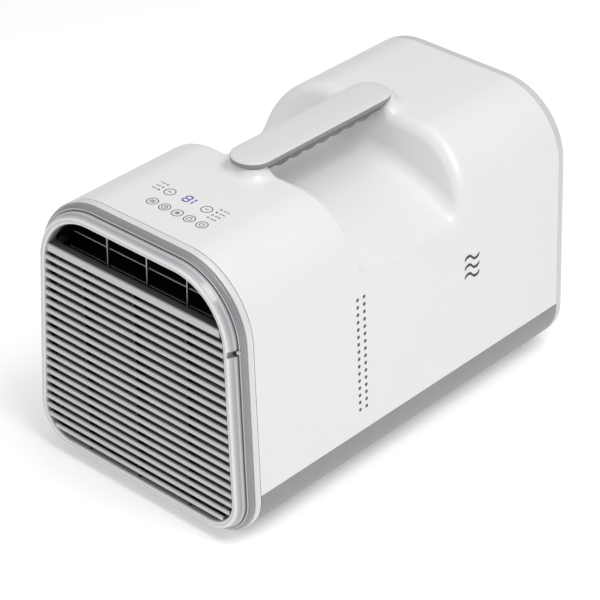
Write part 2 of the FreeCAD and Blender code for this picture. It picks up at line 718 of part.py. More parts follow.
def make_compressor():
    can = rod(COMP_X, COMP_Y, COMP_Z, COMPRESSOR_RADIUS, COMPRESSOR_HEIGHT, Vector(0, 0, 1))
    can = can.makeFillet(14, can.Edges)
    room = rod(COMP_X, COMP_Y, COMP_Z + 10, COMPRESSOR_RADIUS - 6, COMPRESSOR_HEIGHT - 32, Vector(0, 0, 1))
    can = can.cut(room)
    plate = rod(COMP_X, COMP_Y, COMP_Z - 3, COMPRESSOR_RADIUS - 8, 6, Vector(0, 0, 1))
    ears = []
    for i in range(3):
        angle = math.radians(90 + i * 120)
        x = COMP_X + (COMPRESSOR_RADIUS + 8) * math.cos(angle)
        y = COMP_Y + (COMPRESSOR_RADIUS + 8) * math.sin(angle)
        arm = block(0, COMPRESSOR_RADIUS + 8, -9, 9, COMP_Z - 3, COMP_Z)
        arm.rotate(Vector(0, 0, 0), Vector(0, 0, 1), math.degrees(angle))
        arm.translate(Vector(COMP_X, COMP_Y, 0))
        ear = arm.fuse(rod(x, y, COMP_Z - 3, 9, 3, Vector(0, 0, 1)))
        ears.append(ear.cut(rod(x, y, COMP_Z - 4, 4.2, 6, Vector(0, 0, 1))))
    cap_box = rod(COMP_X, COMP_Y, COMP_Z + COMPRESSOR_HEIGHT - 2, 16, 10, Vector(0, 0, 1))
    return union([can, plate, cap_box] + ears)


def make_comp_mounts():
    mounts = []
    for i in range(3):
        angle = math.radians(90 + i * 120)
        x = COMP_X + (COMPRESSOR_RADIUS + 8) * math.cos(angle)
        y = COMP_Y + (COMPRESSOR_RADIUS + 8) * math.sin(angle)
        low = rod(x, y, FLOOR_Z, 8, COMP_Z - 3 - FLOOR_Z, Vector(0, 0, 1))
        neck = rod(x, y, COMP_Z - 4, 4.1, 6, Vector(0, 0, 1))
        head = rod(x, y, COMP_Z + 0.1, 7, 3, Vector(0, 0, 1))
        mounts.append(union([low, neck, head]))
    return Part.makeCompound(mounts)


nodes["compressor"] = make_compressor()
nodes["compressor_mounts"] = make_comp_mounts()

ACC_X = COMP_X + COMPRESSOR_RADIUS + 24
ACC_Z = COMP_Z + 34


def make_accumulator():
    can = rod(ACC_X, COMP_Y, ACC_Z, 16, 84, Vector(0, 0, 1))
    return can.makeFillet(9, can.Edges)


nodes["accumulator"] = make_accumulator()
nodes["suction_elbow"] = tube([Vector(ACC_X, COMP_Y, ACC_Z + 1), Vector(ACC_X, COMP_Y, ACC_Z - 16),
                               Vector(COMP_X + COMPRESSOR_RADIUS - 1, COMP_Y, ACC_Z - 16)], 4, 8)
nodes["suction_elbow"] = nodes["suction_elbow"].cut(nodes["accumulator"]).cut(nodes["compressor"])

# ---- hot side ------------------------------------------------------------------------
COND_Y0 = SHELL_LENGTH - 58
COND_Y1 = SHELL_LENGTH - 30
COND_HALF = EVAP_HALF
COND_Z0 = FLOOR_Z + 22
COND_Z1 = TOP_Z - 92
FAN_Z = COND_Z0 + (COND_Z1 - COND_Z0) / 2
FAN_Y = COND_Y0 - 34

nodes["condenser_tubes"] = hairpins(COND_HALF, (COND_Y0 + COND_Y1) / 2, COND_Z0, COND_Z1, 9, 3.5, 13)
cond_core = fin_core(COND_HALF, COND_Y0, COND_Y1, COND_Z0, COND_Z1, 4.0)
nodes["condenser_fins"] = cond_core.cut(nodes["condenser_tubes"])


def make_shroud():
    y0 = FAN_Y - 6
    y1 = COND_Y0 - 1
    box = block(-COND_HALF - 14, COND_HALF + 14, y0, y1, COND_Z0 - 4, COND_Z1 + 8)
    room = block(-COND_HALF - 12, COND_HALF + 12, y0 + 2, y1 + 1, COND_Z0 - 2, COND_Z1 + 6)
    hole = rod(0, y0 - 2, FAN_Z, FAN_RADIUS + 4, 6, Vector(0, 1, 0))
    lip = rod(0, y0, FAN_Z, FAN_RADIUS + 6, 12, Vector(0, 1, 0)).cut(
        rod(0, y0 - 1, FAN_Z, FAN_RADIUS + 4, 14, Vector(0, 1, 0)))
    return union([box.cut(room).cut(hole), lip])


nodes["fan_shroud"] = make_shroud()


def make_fan():
    """Axial fan with five pitched blades on a hub."""
    hub = rod(0, FAN_Y - 2, FAN_Z, 22, 20, Vector(0, 1, 0))
    blades = []
    for i in range(5):
        blade = block(18, FAN_RADIUS - 1, -1.0, 1.0, -19, 19)
        blade = blade.common(rod(0, -5, 0, FAN_RADIUS - 1, 10, Vector(0, 1, 0)))
        blade.rotate(Vector(0, 0, 0), Vector(1, 0, 0), 26)
        blade.rotate(Vector(0, 0, 0), Vector(0, 1, 0), i * 72)
        blade.translate(Vector(0, FAN_Y + 8, FAN_Z))
        blades.append(blade)
    fan = union([hub] + blades)
    return fan.cut(rod(0, FAN_Y - 3, FAN_Z, SHAFT_RADIUS + SHAFT_FIT, 18, Vector(0, 1, 0)))


nodes["condenser_fan"] = make_fan()
nodes["fan_motor"] = make_motor(FAN_Y - 44, 40, 24, FAN_Z, FAN_Y - 10, FAN_Y + 14)


def make_motor_bracket():
    """Strap across the shroud that carries the fan motor."""
    ring = rod(0, FAN_Y - 34, FAN_Z, 28, 14, Vector(0, 1, 0)).cut(rod(0, FAN_Y - 35, FAN_Z, 24, 16, Vector(0, 1, 0)))
    arms = []
    for side in (-1, 1):
        x0 = side * 26
        x1 = side * (FAN_RADIUS + 16)
        arm = block(min(x0, x1), max(x0, x1), FAN_Y - 32, FAN_Y - 29, FAN_Z - 7, FAN_Z + 7)
        leg = block(min(x1, x1 - side * 3), max(x1, x1 - side * 3), FAN_Y - 32, FAN_Y - 6, FAN_Z - 7, FAN_Z + 7)
        arms.append(arm.fuse(leg))
    return union([ring] + arms)


nodes["motor_bracket"] = make_motor_bracket()

nodes["discharge_pipe"] = tube([Vector(COMP_X + 24, COMP_Y, COMP_Z + COMPRESSOR_HEIGHT - 8),
                                Vector(COMP_X + 24, COMP_Y, COMP_Z + COMPRESSOR_HEIGHT + 22),
                                Vector(COND_HALF + 22, COMP_Y, COMP_Z + COMPRESSOR_HEIGHT + 22),
                                Vector(COND_HALF + 22, (COND_Y0 + COND_Y1) / 2, COMP_Z + COMPRESSOR_HEIGHT + 22)],
                               3.5, 12).cut(nodes["compressor"])
nodes["liquid_line"] = tube([Vector(-COND_HALF - 22, (COND_Y0 + COND_Y1) / 2, COND_Z0 + 40),
                             Vector(-COND_HALF - 22, SCOOP_FRONT + 30, COND_Z0 + 40),
                             Vector(-COND_HALF - 22, SCOOP_FRONT + 30, COND_Z0 + 12),
                             Vector(-COND_HALF - 22, BULKHEAD_Y + 5, COND_Z0 + 12)], 2.5, 10)

# ---- rear --------------------------------------------------------------------------
REAR_Y = SHELL_LENGTH
COLLAR_Z = TOP_Z - 96


def make_rear_ring():
    ring = stepped([(0.0, REAR_Y + GAP), (0.0, REAR_Y + REAR_DEPTH - 2.5), (2.0, REAR_Y + REAR_DEPTH)])
    ring = ring.cut(body_slice(12, REAR_Y - 1, REAR_Y + REAR_DEPTH + 1))
    lip = body_slice(WALL + GAP, REAR_Y - 8, REAR_Y + 2).cut(body_slice(WALL + 2.4, REAR_Y - 9, REAR_Y + 3))
    lip = lip.common(above(SEAM_Z + 12))
    return union([ring, lip])


nodes["rear_ring"] = make_rear_ring()


def make_rear_panel():
    y0 = REAR_Y + 1.5
    y1 = REAR_Y + 4.5
    panel = body_slice(12 + GAP, y0, y1)
    panel = panel.cut(rod(0, y0 - 1, COLLAR_Z, COLLAR_RADIUS - 3, 6, Vector(0, 1, 0)))
    slots = []
    z = FLOOR_Z + 34
    while z < COLLAR_Z - COLLAR_RADIUS - 14:
        for x in (-84, 0, 84):
            slots.append(block(x - 36, x + 36, y0 - 1, y1 + 1, z, z + 5))
        z += 10
    panel = panel.cut(Part.makeCompound(slots))
    panel = panel.cut(block(84, 112, y0 - 1, y1 + 1, COLLAR_Z - 46, COLLAR_Z - 26))
    drain = rod(0, y0 - 1, DRAIN_Z, 9.5, 6, Vector(0, 1, 0))
    panel = panel.cut(drain)
    return panel


nodes["rear_panel"] = make_rear_panel()


def make_collar():
    """Round collar for the hot-air hose, with a flange and a finger guard at its inner end."""
    y0 = REAR_Y + 4.5
    y1 = REAR_Y + REAR_DEPTH - 0.5
    flange = rod(0, y0, COLLAR_Z, COLLAR_RADIUS + 6, 2.0, Vector(0, 1, 0))
    barrel = rod(0, REAR_Y - 20, COLLAR_Z, COLLAR_RADIUS - 3.3, y1 - REAR_Y + 20, Vector(0, 1, 0))
    bore = rod(0, REAR_Y - 21, COLLAR_Z, COLLAR_RADIUS - 6, 60, Vector(0, 1, 0))
    deep = REAR_Y - 23
    guard = []
    for i in range(5):
        x = -COLLAR_RADIUS * 0.66 + i * COLLAR_RADIUS * 0.33
        guard.append(block(x - 1.2, x + 1.2, deep, deep + 3, COLLAR_Z - COLLAR_RADIUS, COLLAR_Z + COLLAR_RADIUS))
    for i in range(5):
        z = COLLAR_Z - COLLAR_RADIUS * 0.66 + i * COLLAR_RADIUS * 0.33
        guard.append(block(-COLLAR_RADIUS, COLLAR_RADIUS, deep, deep + 3, z - 1.2, z + 1.2))
    inside = rod(0, REAR_Y - 24, COLLAR_Z, COLLAR_RADIUS - 4, 60, Vector(0, 1, 0))
    bars = [bar.common(inside) for bar in guard]
    return union([flange.fuse(barrel).cut(bore)] + bars)


nodes["exhaust_collar"] = make_collar()


def make_inlet():
    """Power inlet socket, without its cord."""
    y = REAR_Y + 4.5
    z = COLLAR_Z - 36
    plate = block(82, 114, y, y + 1.6, z - 13, z + 13)
    body = block(84.3, 111.7, y - 20, y + 0.5, z - 9.7, z + 9.7)
    well = block(88, 108, y - 14, y + 3, z - 6.5, z + 6.5)
    pins = [rod(x, y - 16, z, 1.2, 12, Vector(0, 1, 0)) for x in (93, 98, 103)]
    return union([plate.fuse(body).cut(well)] + pins)


nodes["power_inlet"] = make_inlet()

# ---- controls ------------------------------------------------------------------------
KEY_Y = 36.2              # row of five keys, from the front seam
KEY_PITCH = 16.9
KEY_X0 = 5.7
KEY_RADIUS = 6.4
UPPER_Y = 60.7            # the two keys behind the row
LAMP_PITCH = 6.4


def ring_mark(x, y, radius, width):
    ring = rod(x, y, TOP_Z + 0.02, radius, 0.25, Vector(0, 0, 1))
    return ring.cut(rod(x, y, TOP_Z - 1, radius - width, 3, Vector(0, 0, 1)))


def make_key_rings():
    rings = [ring_mark(KEY_X0 + (i - 2) * KEY_PITCH, KEY_Y, KEY_RADIUS, 0.7) for i in range(5)]
    rings.append(ring_mark(KEY_X0 - 2 * KEY_PITCH, UPPER_Y, KEY_RADIUS, 0.7))
    rings.append(ring_mark(KEY_X0 + KEY_PITCH, UPPER_Y, KEY_RADIUS, 0.7))
    return Part.makeCompound(rings)


def make_key_signs():
    """Simple signs inside the touch rings: bars, plus and minus."""
    signs = []
    for i in range(5):
        x = KEY_X0 + (i - 2) * KEY_PITCH
        signs.append(block(x - 2.6, x + 2.6, KEY_Y - 0.5, KEY_Y + 0.5, TOP_Z + 0.02, TOP_Z + 0.27))
    x = KEY_X0 - 2 * KEY_PITCH
    signs.append(block(x - 2.6, x + 2.6, UPPER_Y - 0.5, UPPER_Y + 0.5, TOP_Z + 0.02, TOP_Z + 0.27))
    x = KEY_X0 + KEY_PITCH
    cross = block(x - 2.6, x + 2.6, UPPER_Y - 0.5, UPPER_Y + 0.5, TOP_Z + 0.02, TOP_Z + 0.27)
    cross = cross.fuse(block(x - 0.5, x + 0.5, UPPER_Y - 2.6, UPPER_Y + 2.6, TOP_Z + 0.02, TOP_Z + 0.27))
    signs.append(cross.removeSplitter())
    return Part.makeCompound(signs)


def make_digits():
    """Two seven-bar digits of the display, lit through the shell."""
    bars = []
    middle = UPPER_Y + 2.0
    for cx in (-5.6, 1.8):
        for dy in (-5.3, 0.0, 5.3):
            bars.append(block(cx - 1.6, cx + 1.6, middle + dy - 0.5, middle + dy + 0.5, TOP_Z + 0.02, TOP_Z + 0.22))
        for dx in (-2.4, 2.4):
            for dy in (-2.65, 2.65):
                bars.append(block(cx + dx - 0.5, cx + dx + 0.5, middle + dy - 2.0, middle + dy + 2.0,
                                  TOP_Z + 0.02, TOP_Z + 0.22))
    return Part.makeCompound(bars)


def make_dots():
    """Small status lamps beside the keys."""
    dots = []
    for i in range(3):
        dots.append(rod(-39.8, UPPER_Y - 4.2 + i * LAMP_PITCH, TOP_Z + 0.02, 1.3, 0.22, Vector(0, 0, 1)))
    for i in range(4):
        dots.append(rod(34.0, UPPER_Y - 10.4 + i * LAMP_PITCH, TOP_Z + 0.02, 1.3, 0.22, Vector(0, 0, 1)))
    return Part.makeCompound(dots)


nodes["key_rings"] = make_key_rings()
nodes["key_signs"] = make_key_signs()
nodes["display_digits"] = make_digits()
nodes["status_lamps"] = make_dots()
nodes["touch_board"] = block(-62, 62, KEY_Y - 12, UPPER_Y + 18, TOP_Z - WALL - 4.2, TOP_Z - WALL - 2.6)


def make_touch_pads():
    pads = []
    for i in range(5):
        x = KEY_X0 + (i - 2) * KEY_PITCH
        pads.append(rod(x, KEY_Y, TOP_Z - WALL - 2.6, 5.5, 2.4, Vector(0, 0, 1)))
    for x in (KEY_X0 - 2 * KEY_PITCH, KEY_X0 + KEY_PITCH):
        pads.append(rod(x, UPPER_Y, TOP_Z - WALL - 2.6, 5.5, 2.4, Vector(0, 0, 1)))
    return Part.makeCompound(pads)


nodes["touch_springs"] = make_touch_pads()

BOARD_X = half_width(120) - 30


def make_main_board():
    y0 = SCOOP_FRONT + 20
    y1 = SCOOP_FRONT + 140
    return block(BOARD_X - 1.6, BOARD_X, y0, y1, FLOOR_Z + 60, FLOOR_Z + 150)


def make_board_parts():
    y0 = SCOOP_FRONT + 20
    z0 = FLOOR_Z + 60
    x = BOARD_X - 1.6
    parts = [block(x - 24, x, y0 + 10, y0 + 46, z0 + 10, z0 + 44),
             rod(x - 26, y0 + 70, z0 + 22, 9, 26, Vector(1, 0, 0)),
             rod(x - 26, y0 + 94, z0 + 22, 9, 26, Vector(1, 0, 0)),
             block(x - 12, x, y0 + 14, y0 + 44, z0 + 56, z0 + 76),
             block(x - 16, x, y0 + 64, y0 + 104, z0 + 48, z0 + 60)]
    return Part.makeCompound(parts)


nodes["main_board"] = make_main_board()
nodes["board_parts"] = make_board_parts()


WAVE = 12.0               # half a wave of the side sign
PEN = 3.0                 # height of its strokes


def make_side_mark():
    """Plain printed sign on the side: three wavy lines for moving air."""
    strokes = []
    y0 = REAR_TOP - 12
    for k in range(3):
        z = SEAM_Z + 103 + k * 10.5
        x = half_width(z) + 0.02
        for i in range(2):
            y = y0 + i * WAVE
            rise = 3.2 if i == 0 else -3.2
            start = Vector(0, y, 0)
            end = Vector(0, y + WAVE, 0)
            low_arc = Part.Arc(start, Vector(0, y + WAVE / 2, rise), end).toShape()
            high_arc = Part.Arc(end + Vector(0, 0, PEN), Vector(0, y + WAVE / 2, rise + PEN),
                                start + Vector(0, 0, PEN)).toShape()
            sides = [Part.makeLine(end, end + Vector(0, 0, PEN)), Part.makeLine(start + Vector(0, 0, PEN), start)]
            face = Part.Face(Part.Wire([low_arc, sides[0], high_arc, sides[1]]))
            stroke = face.extrude(Vector(0.3, 0, 0))
            stroke.rotate(Vector(0, 0, 0), Vector(0, 1, 0), -math.degrees(math.atan(SIDE_LEAN)))
            stroke.translate(Vector(x, 0, z))
            strokes.append(stroke)
    pairs = []
    for i in range(0, len(strokes), 2):
        pairs.append(strokes[i].fuse(strokes[i + 1]).removeSplitter())
    return Part.makeCompound(pairs)


nodes["side_mark"] = make_side_mark()

# ---- write every node ------------------------------------------------------------------
os.makedirs("parts", exist_ok=True)
for name, shape in nodes.items():
    placed = shape.copy()
    placed.translate(Vector(0, -MID_Y, 0))
    if placed.ShapeType == "Compound" and len(placed.Solids) == 1:
        placed = placed.Solids[0]
    placed.exportStep("parts/" + name + ".step")
    box = placed.BoundBox
    print(name, len(placed.Solids), placed.isValid(),
          [round(v, 1) for v in (box.XMin, box.XMax, box.YMin, box.YMax, box.ZMin, box.ZMax)])
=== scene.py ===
"""Portable air conditioner: the visible pieces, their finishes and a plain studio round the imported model."""
import json
import math

import bmesh
import bpy
import numpy as np
from bpy.props import FloatProperty, FloatVectorProperty, PointerProperty
from mathutils import Matrix, Vector


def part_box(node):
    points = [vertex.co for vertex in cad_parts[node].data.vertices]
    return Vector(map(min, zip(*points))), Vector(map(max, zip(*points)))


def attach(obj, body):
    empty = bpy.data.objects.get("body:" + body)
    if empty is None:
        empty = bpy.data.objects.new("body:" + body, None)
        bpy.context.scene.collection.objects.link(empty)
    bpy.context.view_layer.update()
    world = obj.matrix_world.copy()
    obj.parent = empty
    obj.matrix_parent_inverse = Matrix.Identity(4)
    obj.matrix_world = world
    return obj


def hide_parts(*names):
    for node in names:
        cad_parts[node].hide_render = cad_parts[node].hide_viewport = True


bl_info = {
    "name": "Portable air conditioner",
    "version": (1, 0, 0),
    "blender": (4, 5, 0),
    "location": "3D View > Sidebar > Cooler",
    "description": "Builds the shell, front, handle, keys and finishes of a small portable air conditioner",
    "category": "Object",
}

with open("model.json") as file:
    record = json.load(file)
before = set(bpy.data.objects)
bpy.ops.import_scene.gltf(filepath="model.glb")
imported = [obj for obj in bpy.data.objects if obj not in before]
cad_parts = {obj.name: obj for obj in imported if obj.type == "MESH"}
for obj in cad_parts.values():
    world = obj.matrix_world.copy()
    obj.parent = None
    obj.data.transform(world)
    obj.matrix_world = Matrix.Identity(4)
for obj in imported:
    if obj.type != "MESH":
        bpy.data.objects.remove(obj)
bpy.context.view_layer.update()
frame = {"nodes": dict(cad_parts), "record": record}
MM = 0.001
FRONT_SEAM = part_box("upper_casing")[0].y
REAR_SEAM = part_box("upper_casing")[1].y
BODY_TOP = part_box("front_ring")[1].z
FLOOR_OF_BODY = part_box("front_ring")[0].z
BASE_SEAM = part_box("base_pan")[1].z


# ---- colours ---------------------------------------------------------------
def linear(code):
    """Linear RGB and full alpha from an sRGB hex code."""
    parts = [int(code[i:i + 2], 16) / 255 for i in (1, 3, 5)]
    return [c / 12.92 if c <= 0.04045 else ((c + 0.055) / 1.055) ** 2.4 for c in parts] + [1.0]


def length_setting(name, default, description):
    """A length in metres that the sidebar shows in the scene's units."""
    return FloatProperty(name=name, default=default, min=0.0, description=description,
                         subtype="DISTANCE", unit="LENGTH", precision=4)


def colour_setting(name, code, description):
    """A colour setting with an sRGB hex default."""
    return FloatVectorProperty(name=name, default=linear(code), size=4, min=0.0, max=1.0,
                               description=description, subtype="COLOR")


class BodySizes(bpy.types.PropertyGroup):
    """Sizes of the moulded shell."""
    height: length_setting("Top of body", BODY_TOP, "Height of the shell's flat top above the floor")
    width: length_setting("Width at the bottom", 0.308, "Width where the sides would meet the underside")
    lean: FloatProperty(name="Side lean", default=0.0536, min=0.0, max=0.3,
                        description="How far each side leans in for each unit of height")
    top_radius: length_setting("Top corner radius", 0.082, "Radius of the two upper corners")
    bottom_radius: length_setting("Bottom corner radius", 0.051, "Radius of the two lower corners")
    wall: length_setting("Wall", 0.0025, "Thickness of the moulded wall")


class ScoopSizes(bpy.types.PropertyGroup):
    """Sizes of the hand scoop under the handle."""
    front: length_setting("Front wall", 0.157, "Front wall of the scoop, behind the front seam")
    rear: length_setting("Rear wall", 0.312, "Rear wall of the scoop at its lowest point")
    rear_lean: FloatProperty(name="Rear wall lean", default=0.27, min=0.0, max=1.0,
                             description="How far the rear wall leans back for each unit of height")
    edge_depth: length_setting("Depth at the sides", 0.080, "Depth of the floor, at the sides")
    crest_depth: length_setting("Depth in the middle", 0.044, "Depth of the floor, in the middle")
    front_bend: length_setting("Front bend", 0.026, "Radius between the floor and the front wall")
    rear_bend: length_setting("Rear bend", 0.013, "Radius between the floor and the rear wall")
    front_rim: length_setting("Front rim", 0.0045, "Rounding of the front rim")
    rear_rim: length_setting("Rear rim", 0.012, "Rounding of the rear rim")


class FrontSizes(bpy.types.PropertyGroup):
    """Sizes of the front frame and its slats."""
    frame_inset: length_setting("Frame width", 0.0186, "From outside the body to inside the frame")
    slat_pitch: length_setting("Slat pitch", 0.0109, "Height from one slat to the next")
    slat_height: length_setting("Slat height", 0.0056, "Height of the front of a slat")
    notch_height: length_setting("Notch height", 0.007, "Height of the finger notch in each side")


class HandleSizes(bpy.types.PropertyGroup):
    """Sizes of the handle and its grip."""
    width: length_setting("Handle width", 0.046, "Width of the handle cap")
    thickness: length_setting("Handle thickness", 0.008, "Thickness of the handle cap")
    grip_width: length_setting("Grip width", 0.030, "Width of the soft grip")
    finger_pitch: length_setting("Finger pitch", 0.021, "Distance between the finger waves")


class Finishes(bpy.types.PropertyGroup):
    """Colours of the visible finishes."""
    shell: colour_setting("Shell", "#E5E5E5", "White ABS of the shell")
    trim: colour_setting("Trim ring", "#D9DADB", "Glossy white ABS of the ring at the front seam")
    rear_trim: colour_setting("Rear ring", "#CBCCCE", "Pale grey ABS of the ring at the rear")
    front: colour_setting("Front", "#C5C5C6", "Silver-grey ABS of the front frame and slats")
    # the band's own grey, also used as the painted shade on the front frame's flanks
    band_grey_and_flank_shade: colour_setting("Band grey and painted flank shade", "#8A8B8D", "Grey ABS of the band, also the painted shade on the front frame's flanks")
    base: colour_setting("Base", "#8A8B8D", "Grey ABS of the base")
    handle: colour_setting("Handle", "#D8D9DB", "Pale grey ABS of the handle cap")
    handle_edge: colour_setting("Handle edge", "#8F9092", "Mid grey ABS round the edge of the handle")
    grip: colour_setting("Grip", "#8A8B8D", "Grey soft grip under the handle")
    duct: colour_setting("Duct", "#17181B", "Black ABS inside the air outlet")
    ink: colour_setting("Ink", "#2E2F32", "Printed marks on the shell")
    display: colour_setting("Display", "#3A349E", "Light of the digits")
    display_light: FloatProperty(name="Display light", default=0.2, min=0.0, max=20.0,
                                 description="Strength of the lit digits")


# ---- mesh helpers: millimetres, y measured from the front seam ---------------------
def in_frame(points):
    """Points in millimetres from the front seam, as metres in the model's frame."""
    out = np.array(points, float).reshape(-1, 3) * MM
    out[:, 1] += FRONT_SEAM
    return out


class Shape:
    """Points and faces that are gathered before they become one mesh."""

    def __init__(self):
        self.points = []
        self.faces = []

    def add(self, points, faces):
        start = len(self.points)
        self.points.extend(tuple(p) for p in points)
        self.faces.extend([tuple(start + i for i in face) for face in faces])

    def tube(self, rows, closed_rows=False, cap=True):
        """Joins rows of equal length with quads; each row is a closed loop of points."""
        size = len(rows[0])
        count = len(rows)
        points = [p for row in rows for p in row]
        faces = []
        for r in range(count if closed_rows else count - 1):
            s = (r + 1) % count
            for i in range(size):
                j = (i + 1) % size
                faces.append((r * size + i, r * size + j, s * size + j, s * size + i))
        if cap and not closed_rows:
            faces.append(tuple(reversed(range(size))))
            faces.append(tuple((count - 1) * size + i for i in range(size)))
        self.add(points, faces)

    def bar(self, section, x0, x1):
        """A section of (y, z) points pulled along x."""
        self.tube([[(x, y, z) for y, z in section] for x in (x0, x1)])


def rounded_path(corners, radii, steps=5):
    """A closed path through the corners, each rounded to its radius."""
    path = []
    count = len(corners)
    for i in range(count):
        corner = Vector(corners[i])
        back = (Vector(corners[i - 1]) - corner).normalized()
        ahead = (Vector(corners[(i + 1) % count]) - corner).normalized()
        if radii[i] <= 0:
            path.append(tuple(corner))
            continue
        half = back.angle(ahead) / 2
        reach = radii[i] / math.tan(half)
        centre = corner + (back + ahead).normalized() * (radii[i] / math.sin(half))
        start = corner + back * reach - centre
        stop = corner + ahead * reach - centre
        turn = start.angle(stop)
        for k in range(steps + 1):
            t = k / steps
            arm = (start * math.sin((1 - t) * turn) + stop * math.sin(t * turn)) / math.sin(turn)
            path.append(tuple(centre + arm))
    return path


def smooth_path(points, steps=4):
    """An open path eased through the points."""
    out = []
    last = len(points) - 1
    for i in range(last):
        a = Vector(points[max(i - 1, 0)])
        b = Vector(points[i])
        c = Vector(points[i + 1])
        d = Vector(points[min(i + 2, last)])
        for k in range(steps):
            t = k / steps
            out.append(tuple(0.5 * (2 * b + (c - a) * t + (2 * a - 5 * b + 4 * c - d) * t ** 2
                                    + (3 * b - a - 3 * c + d) * t ** 3)))
    out.append(tuple(points[-1]))
    return out


CREASE = 38               # edges sharper than this many degrees stay sharp


def closed_mesh(name, shape):
    """A shape as a mesh, its meeting points joined and its faces turned outwards."""
    mesh = bpy.data.meshes.new(name)
    mesh.from_pydata(in_frame(shape.points).tolist(), [], shape.faces)
    work = bmesh.new()
    work.from_mesh(mesh)
    bmesh.ops.remove_doubles(work, verts=work.verts, dist=1e-6)
    bmesh.ops.recalc_face_normals(work, faces=work.faces)
    work.to_mesh(mesh)
    work.free()
    return mesh


def shade_smooth(mesh, crease=CREASE):
    """Smooth shading between the edges that stay sharp."""
    mesh.polygons.foreach_set("use_smooth", [True] * len(mesh.polygons))
    mesh.set_sharp_from_angle(angle=math.radians(crease))


def add_object(name, data):
    """Puts data into the scene as an object."""
    item = bpy.data.objects.new(name, data)
    bpy.context.scene.collection.objects.link(item)
    return item


def make_piece(name, shape, finish, stands_for=(), body="cabinet", crease=CREASE):
    """Turns a shape into a smooth-shaded piece that rides on a body."""
    mesh = closed_mesh(name, shape)
    shade_smooth(mesh, crease)
    return place_piece(name, mesh, finish, stands_for, body)


def place_piece(name, mesh, finish, stands_for=(), body="cabinet"):
    """Makes a mesh a piece with its finish, slot and body."""
    mesh.materials.append(FINISH[finish])
    piece = add_object(name, mesh)
    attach(piece, body)
    if stands_for:
        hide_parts(*stands_for)
    return piece


# ---- the body's cross-section -------------------------------------------------------
SILL_SHARE = 0.816        # height of the bar under the outlet, as a share of the body's


class Section:
    """The body's rounded cross-section, with points that can be drawn in by an inset."""

    def __init__(self, sizes):
        self.top = sizes.height / MM
        self.bottom = FLOOR_OF_BODY / MM
        self.lean = sizes.lean
        self.slope = math.sqrt(1 + self.lean ** 2)
        self.half = sizes.width / MM / 2
        self.top_radius = sizes.top_radius / MM
        self.bottom_radius = sizes.bottom_radius / MM
        self.side_angle = math.atan(self.lean)
        self.top_z = self.top - self.top_radius
        self.bottom_z = self.bottom + self.bottom_radius
        self.top_x = self.half_width(self.top_z) - self.top_radius * self.slope
        self.bottom_x = self.half_width(self.bottom_z) - self.bottom_radius * self.slope

    def half_width(self, z):
        return self.half - self.lean * (z - self.bottom)

    def rim(self, arc_steps=28, side_step=8.0):
        """Points (x, z, normal x, normal z) round the whole section."""
        right = []
        for k in range(8):
            right.append((self.bottom_x * k / 8, self.bottom, 0.0, -1.0))
        for k in range(arc_steps + 1):
            angle = -math.pi / 2 + (math.pi / 2 + self.side_angle) * k / arc_steps
            nx, nz = math.cos(angle), math.sin(angle)
            right.append((self.bottom_x + self.bottom_radius * nx,
                          self.bottom_z + self.bottom_radius * nz, nx, nz))
        start = right[-1]
        nx, nz = math.cos(self.side_angle), math.sin(self.side_angle)
        end = (self.top_x + self.top_radius * nx, self.top_z + self.top_radius * nz)
        count = int((end[1] - start[1]) / side_step)
        for k in range(1, count):
            t = k / count
            right.append((start[0] + (end[0] - start[0]) * t,
                          start[1] + (end[1] - start[1]) * t, nx, nz))
        for k in range(arc_steps + 1):
            angle = self.side_angle + (math.pi / 2 - self.side_angle) * k / arc_steps
            nx, nz = math.cos(angle), math.sin(angle)
            right.append((self.top_x + self.top_radius * nx, self.top_z + self.top_radius * nz, nx, nz))
        for k in range(1, 8):
            right.append((self.top_x * (1 - k / 8), self.top, 0.0, 1.0))
        left = [(-x, z, -nx, nz) for x, z, nx, nz in reversed(right[1:])]
        return right + [(0.0, self.top, 0.0, 1.0)] + left

    def sill(self):
        """Height of the bar under the air outlet."""
        return self.bottom + (self.top - self.bottom) * SILL_SHARE

    def opening(self, z, inset):
        """Half the width inside an inset at height z."""
        low = self.bottom_z - z
        high = z - self.top_z
        if high > (self.top_radius - inset) * math.sin(self.side_angle):
            radius = self.top_radius - inset
            return self.top_x + math.sqrt(max(radius ** 2 - high ** 2, 0.0))
        if low > 0:
            radius = self.bottom_radius - inset
            return self.bottom_x + math.sqrt(max(radius ** 2 - low ** 2, 0.0))
        return self.half_width(z) - inset * self.slope


def swept(rim, profile, closed=True, shape=None):
    """A profile of (inset, y) points carried round the rim, added to a shape if one is given."""
    shape = shape or Shape()
    rows = [[(x - nx * inset, y, z - nz * inset) for inset, y in profile] for x, z, nx, nz in rim]
    shape.tube(rows, closed_rows=closed)
    return shape


# ---- finishes -------------------------------------------------------------------------
ABS_IOR = 1.53
RUBBER_IOR = 1.50
GRAIN_DEPTH = 0.0002      # height of a mould's grain, in metres


def set_sockets(node, sockets):
    """Sets a node's sockets; a node or socket given as a value is linked."""
    for key, value in sockets.items():
        if isinstance(value, bpy.types.Node):
            value = value.outputs[0]
        if isinstance(value, bpy.types.NodeSocket):
            node.id_data.links.new(value, node.inputs[key])
        else:
            node.inputs[key].default_value = value


def add_node(tree, kind, sockets=None, stops=(), **settings):
    """Adds a node with its settings, links and colour stops."""
    node = tree.nodes.new("ShaderNode" + kind)
    for key, value in settings.items():
        setattr(node, key, value)
    set_sockets(node, sockets or {})
    if stops:
        points = node.color_ramp.elements
        for point, (position, colour) in zip((points[0], points[1]), (stops[0], stops[-1])):
            point.position = position
            point.color = colour
        for position, colour in stops[1:-1]:
            points.new(position).color = colour
    return node


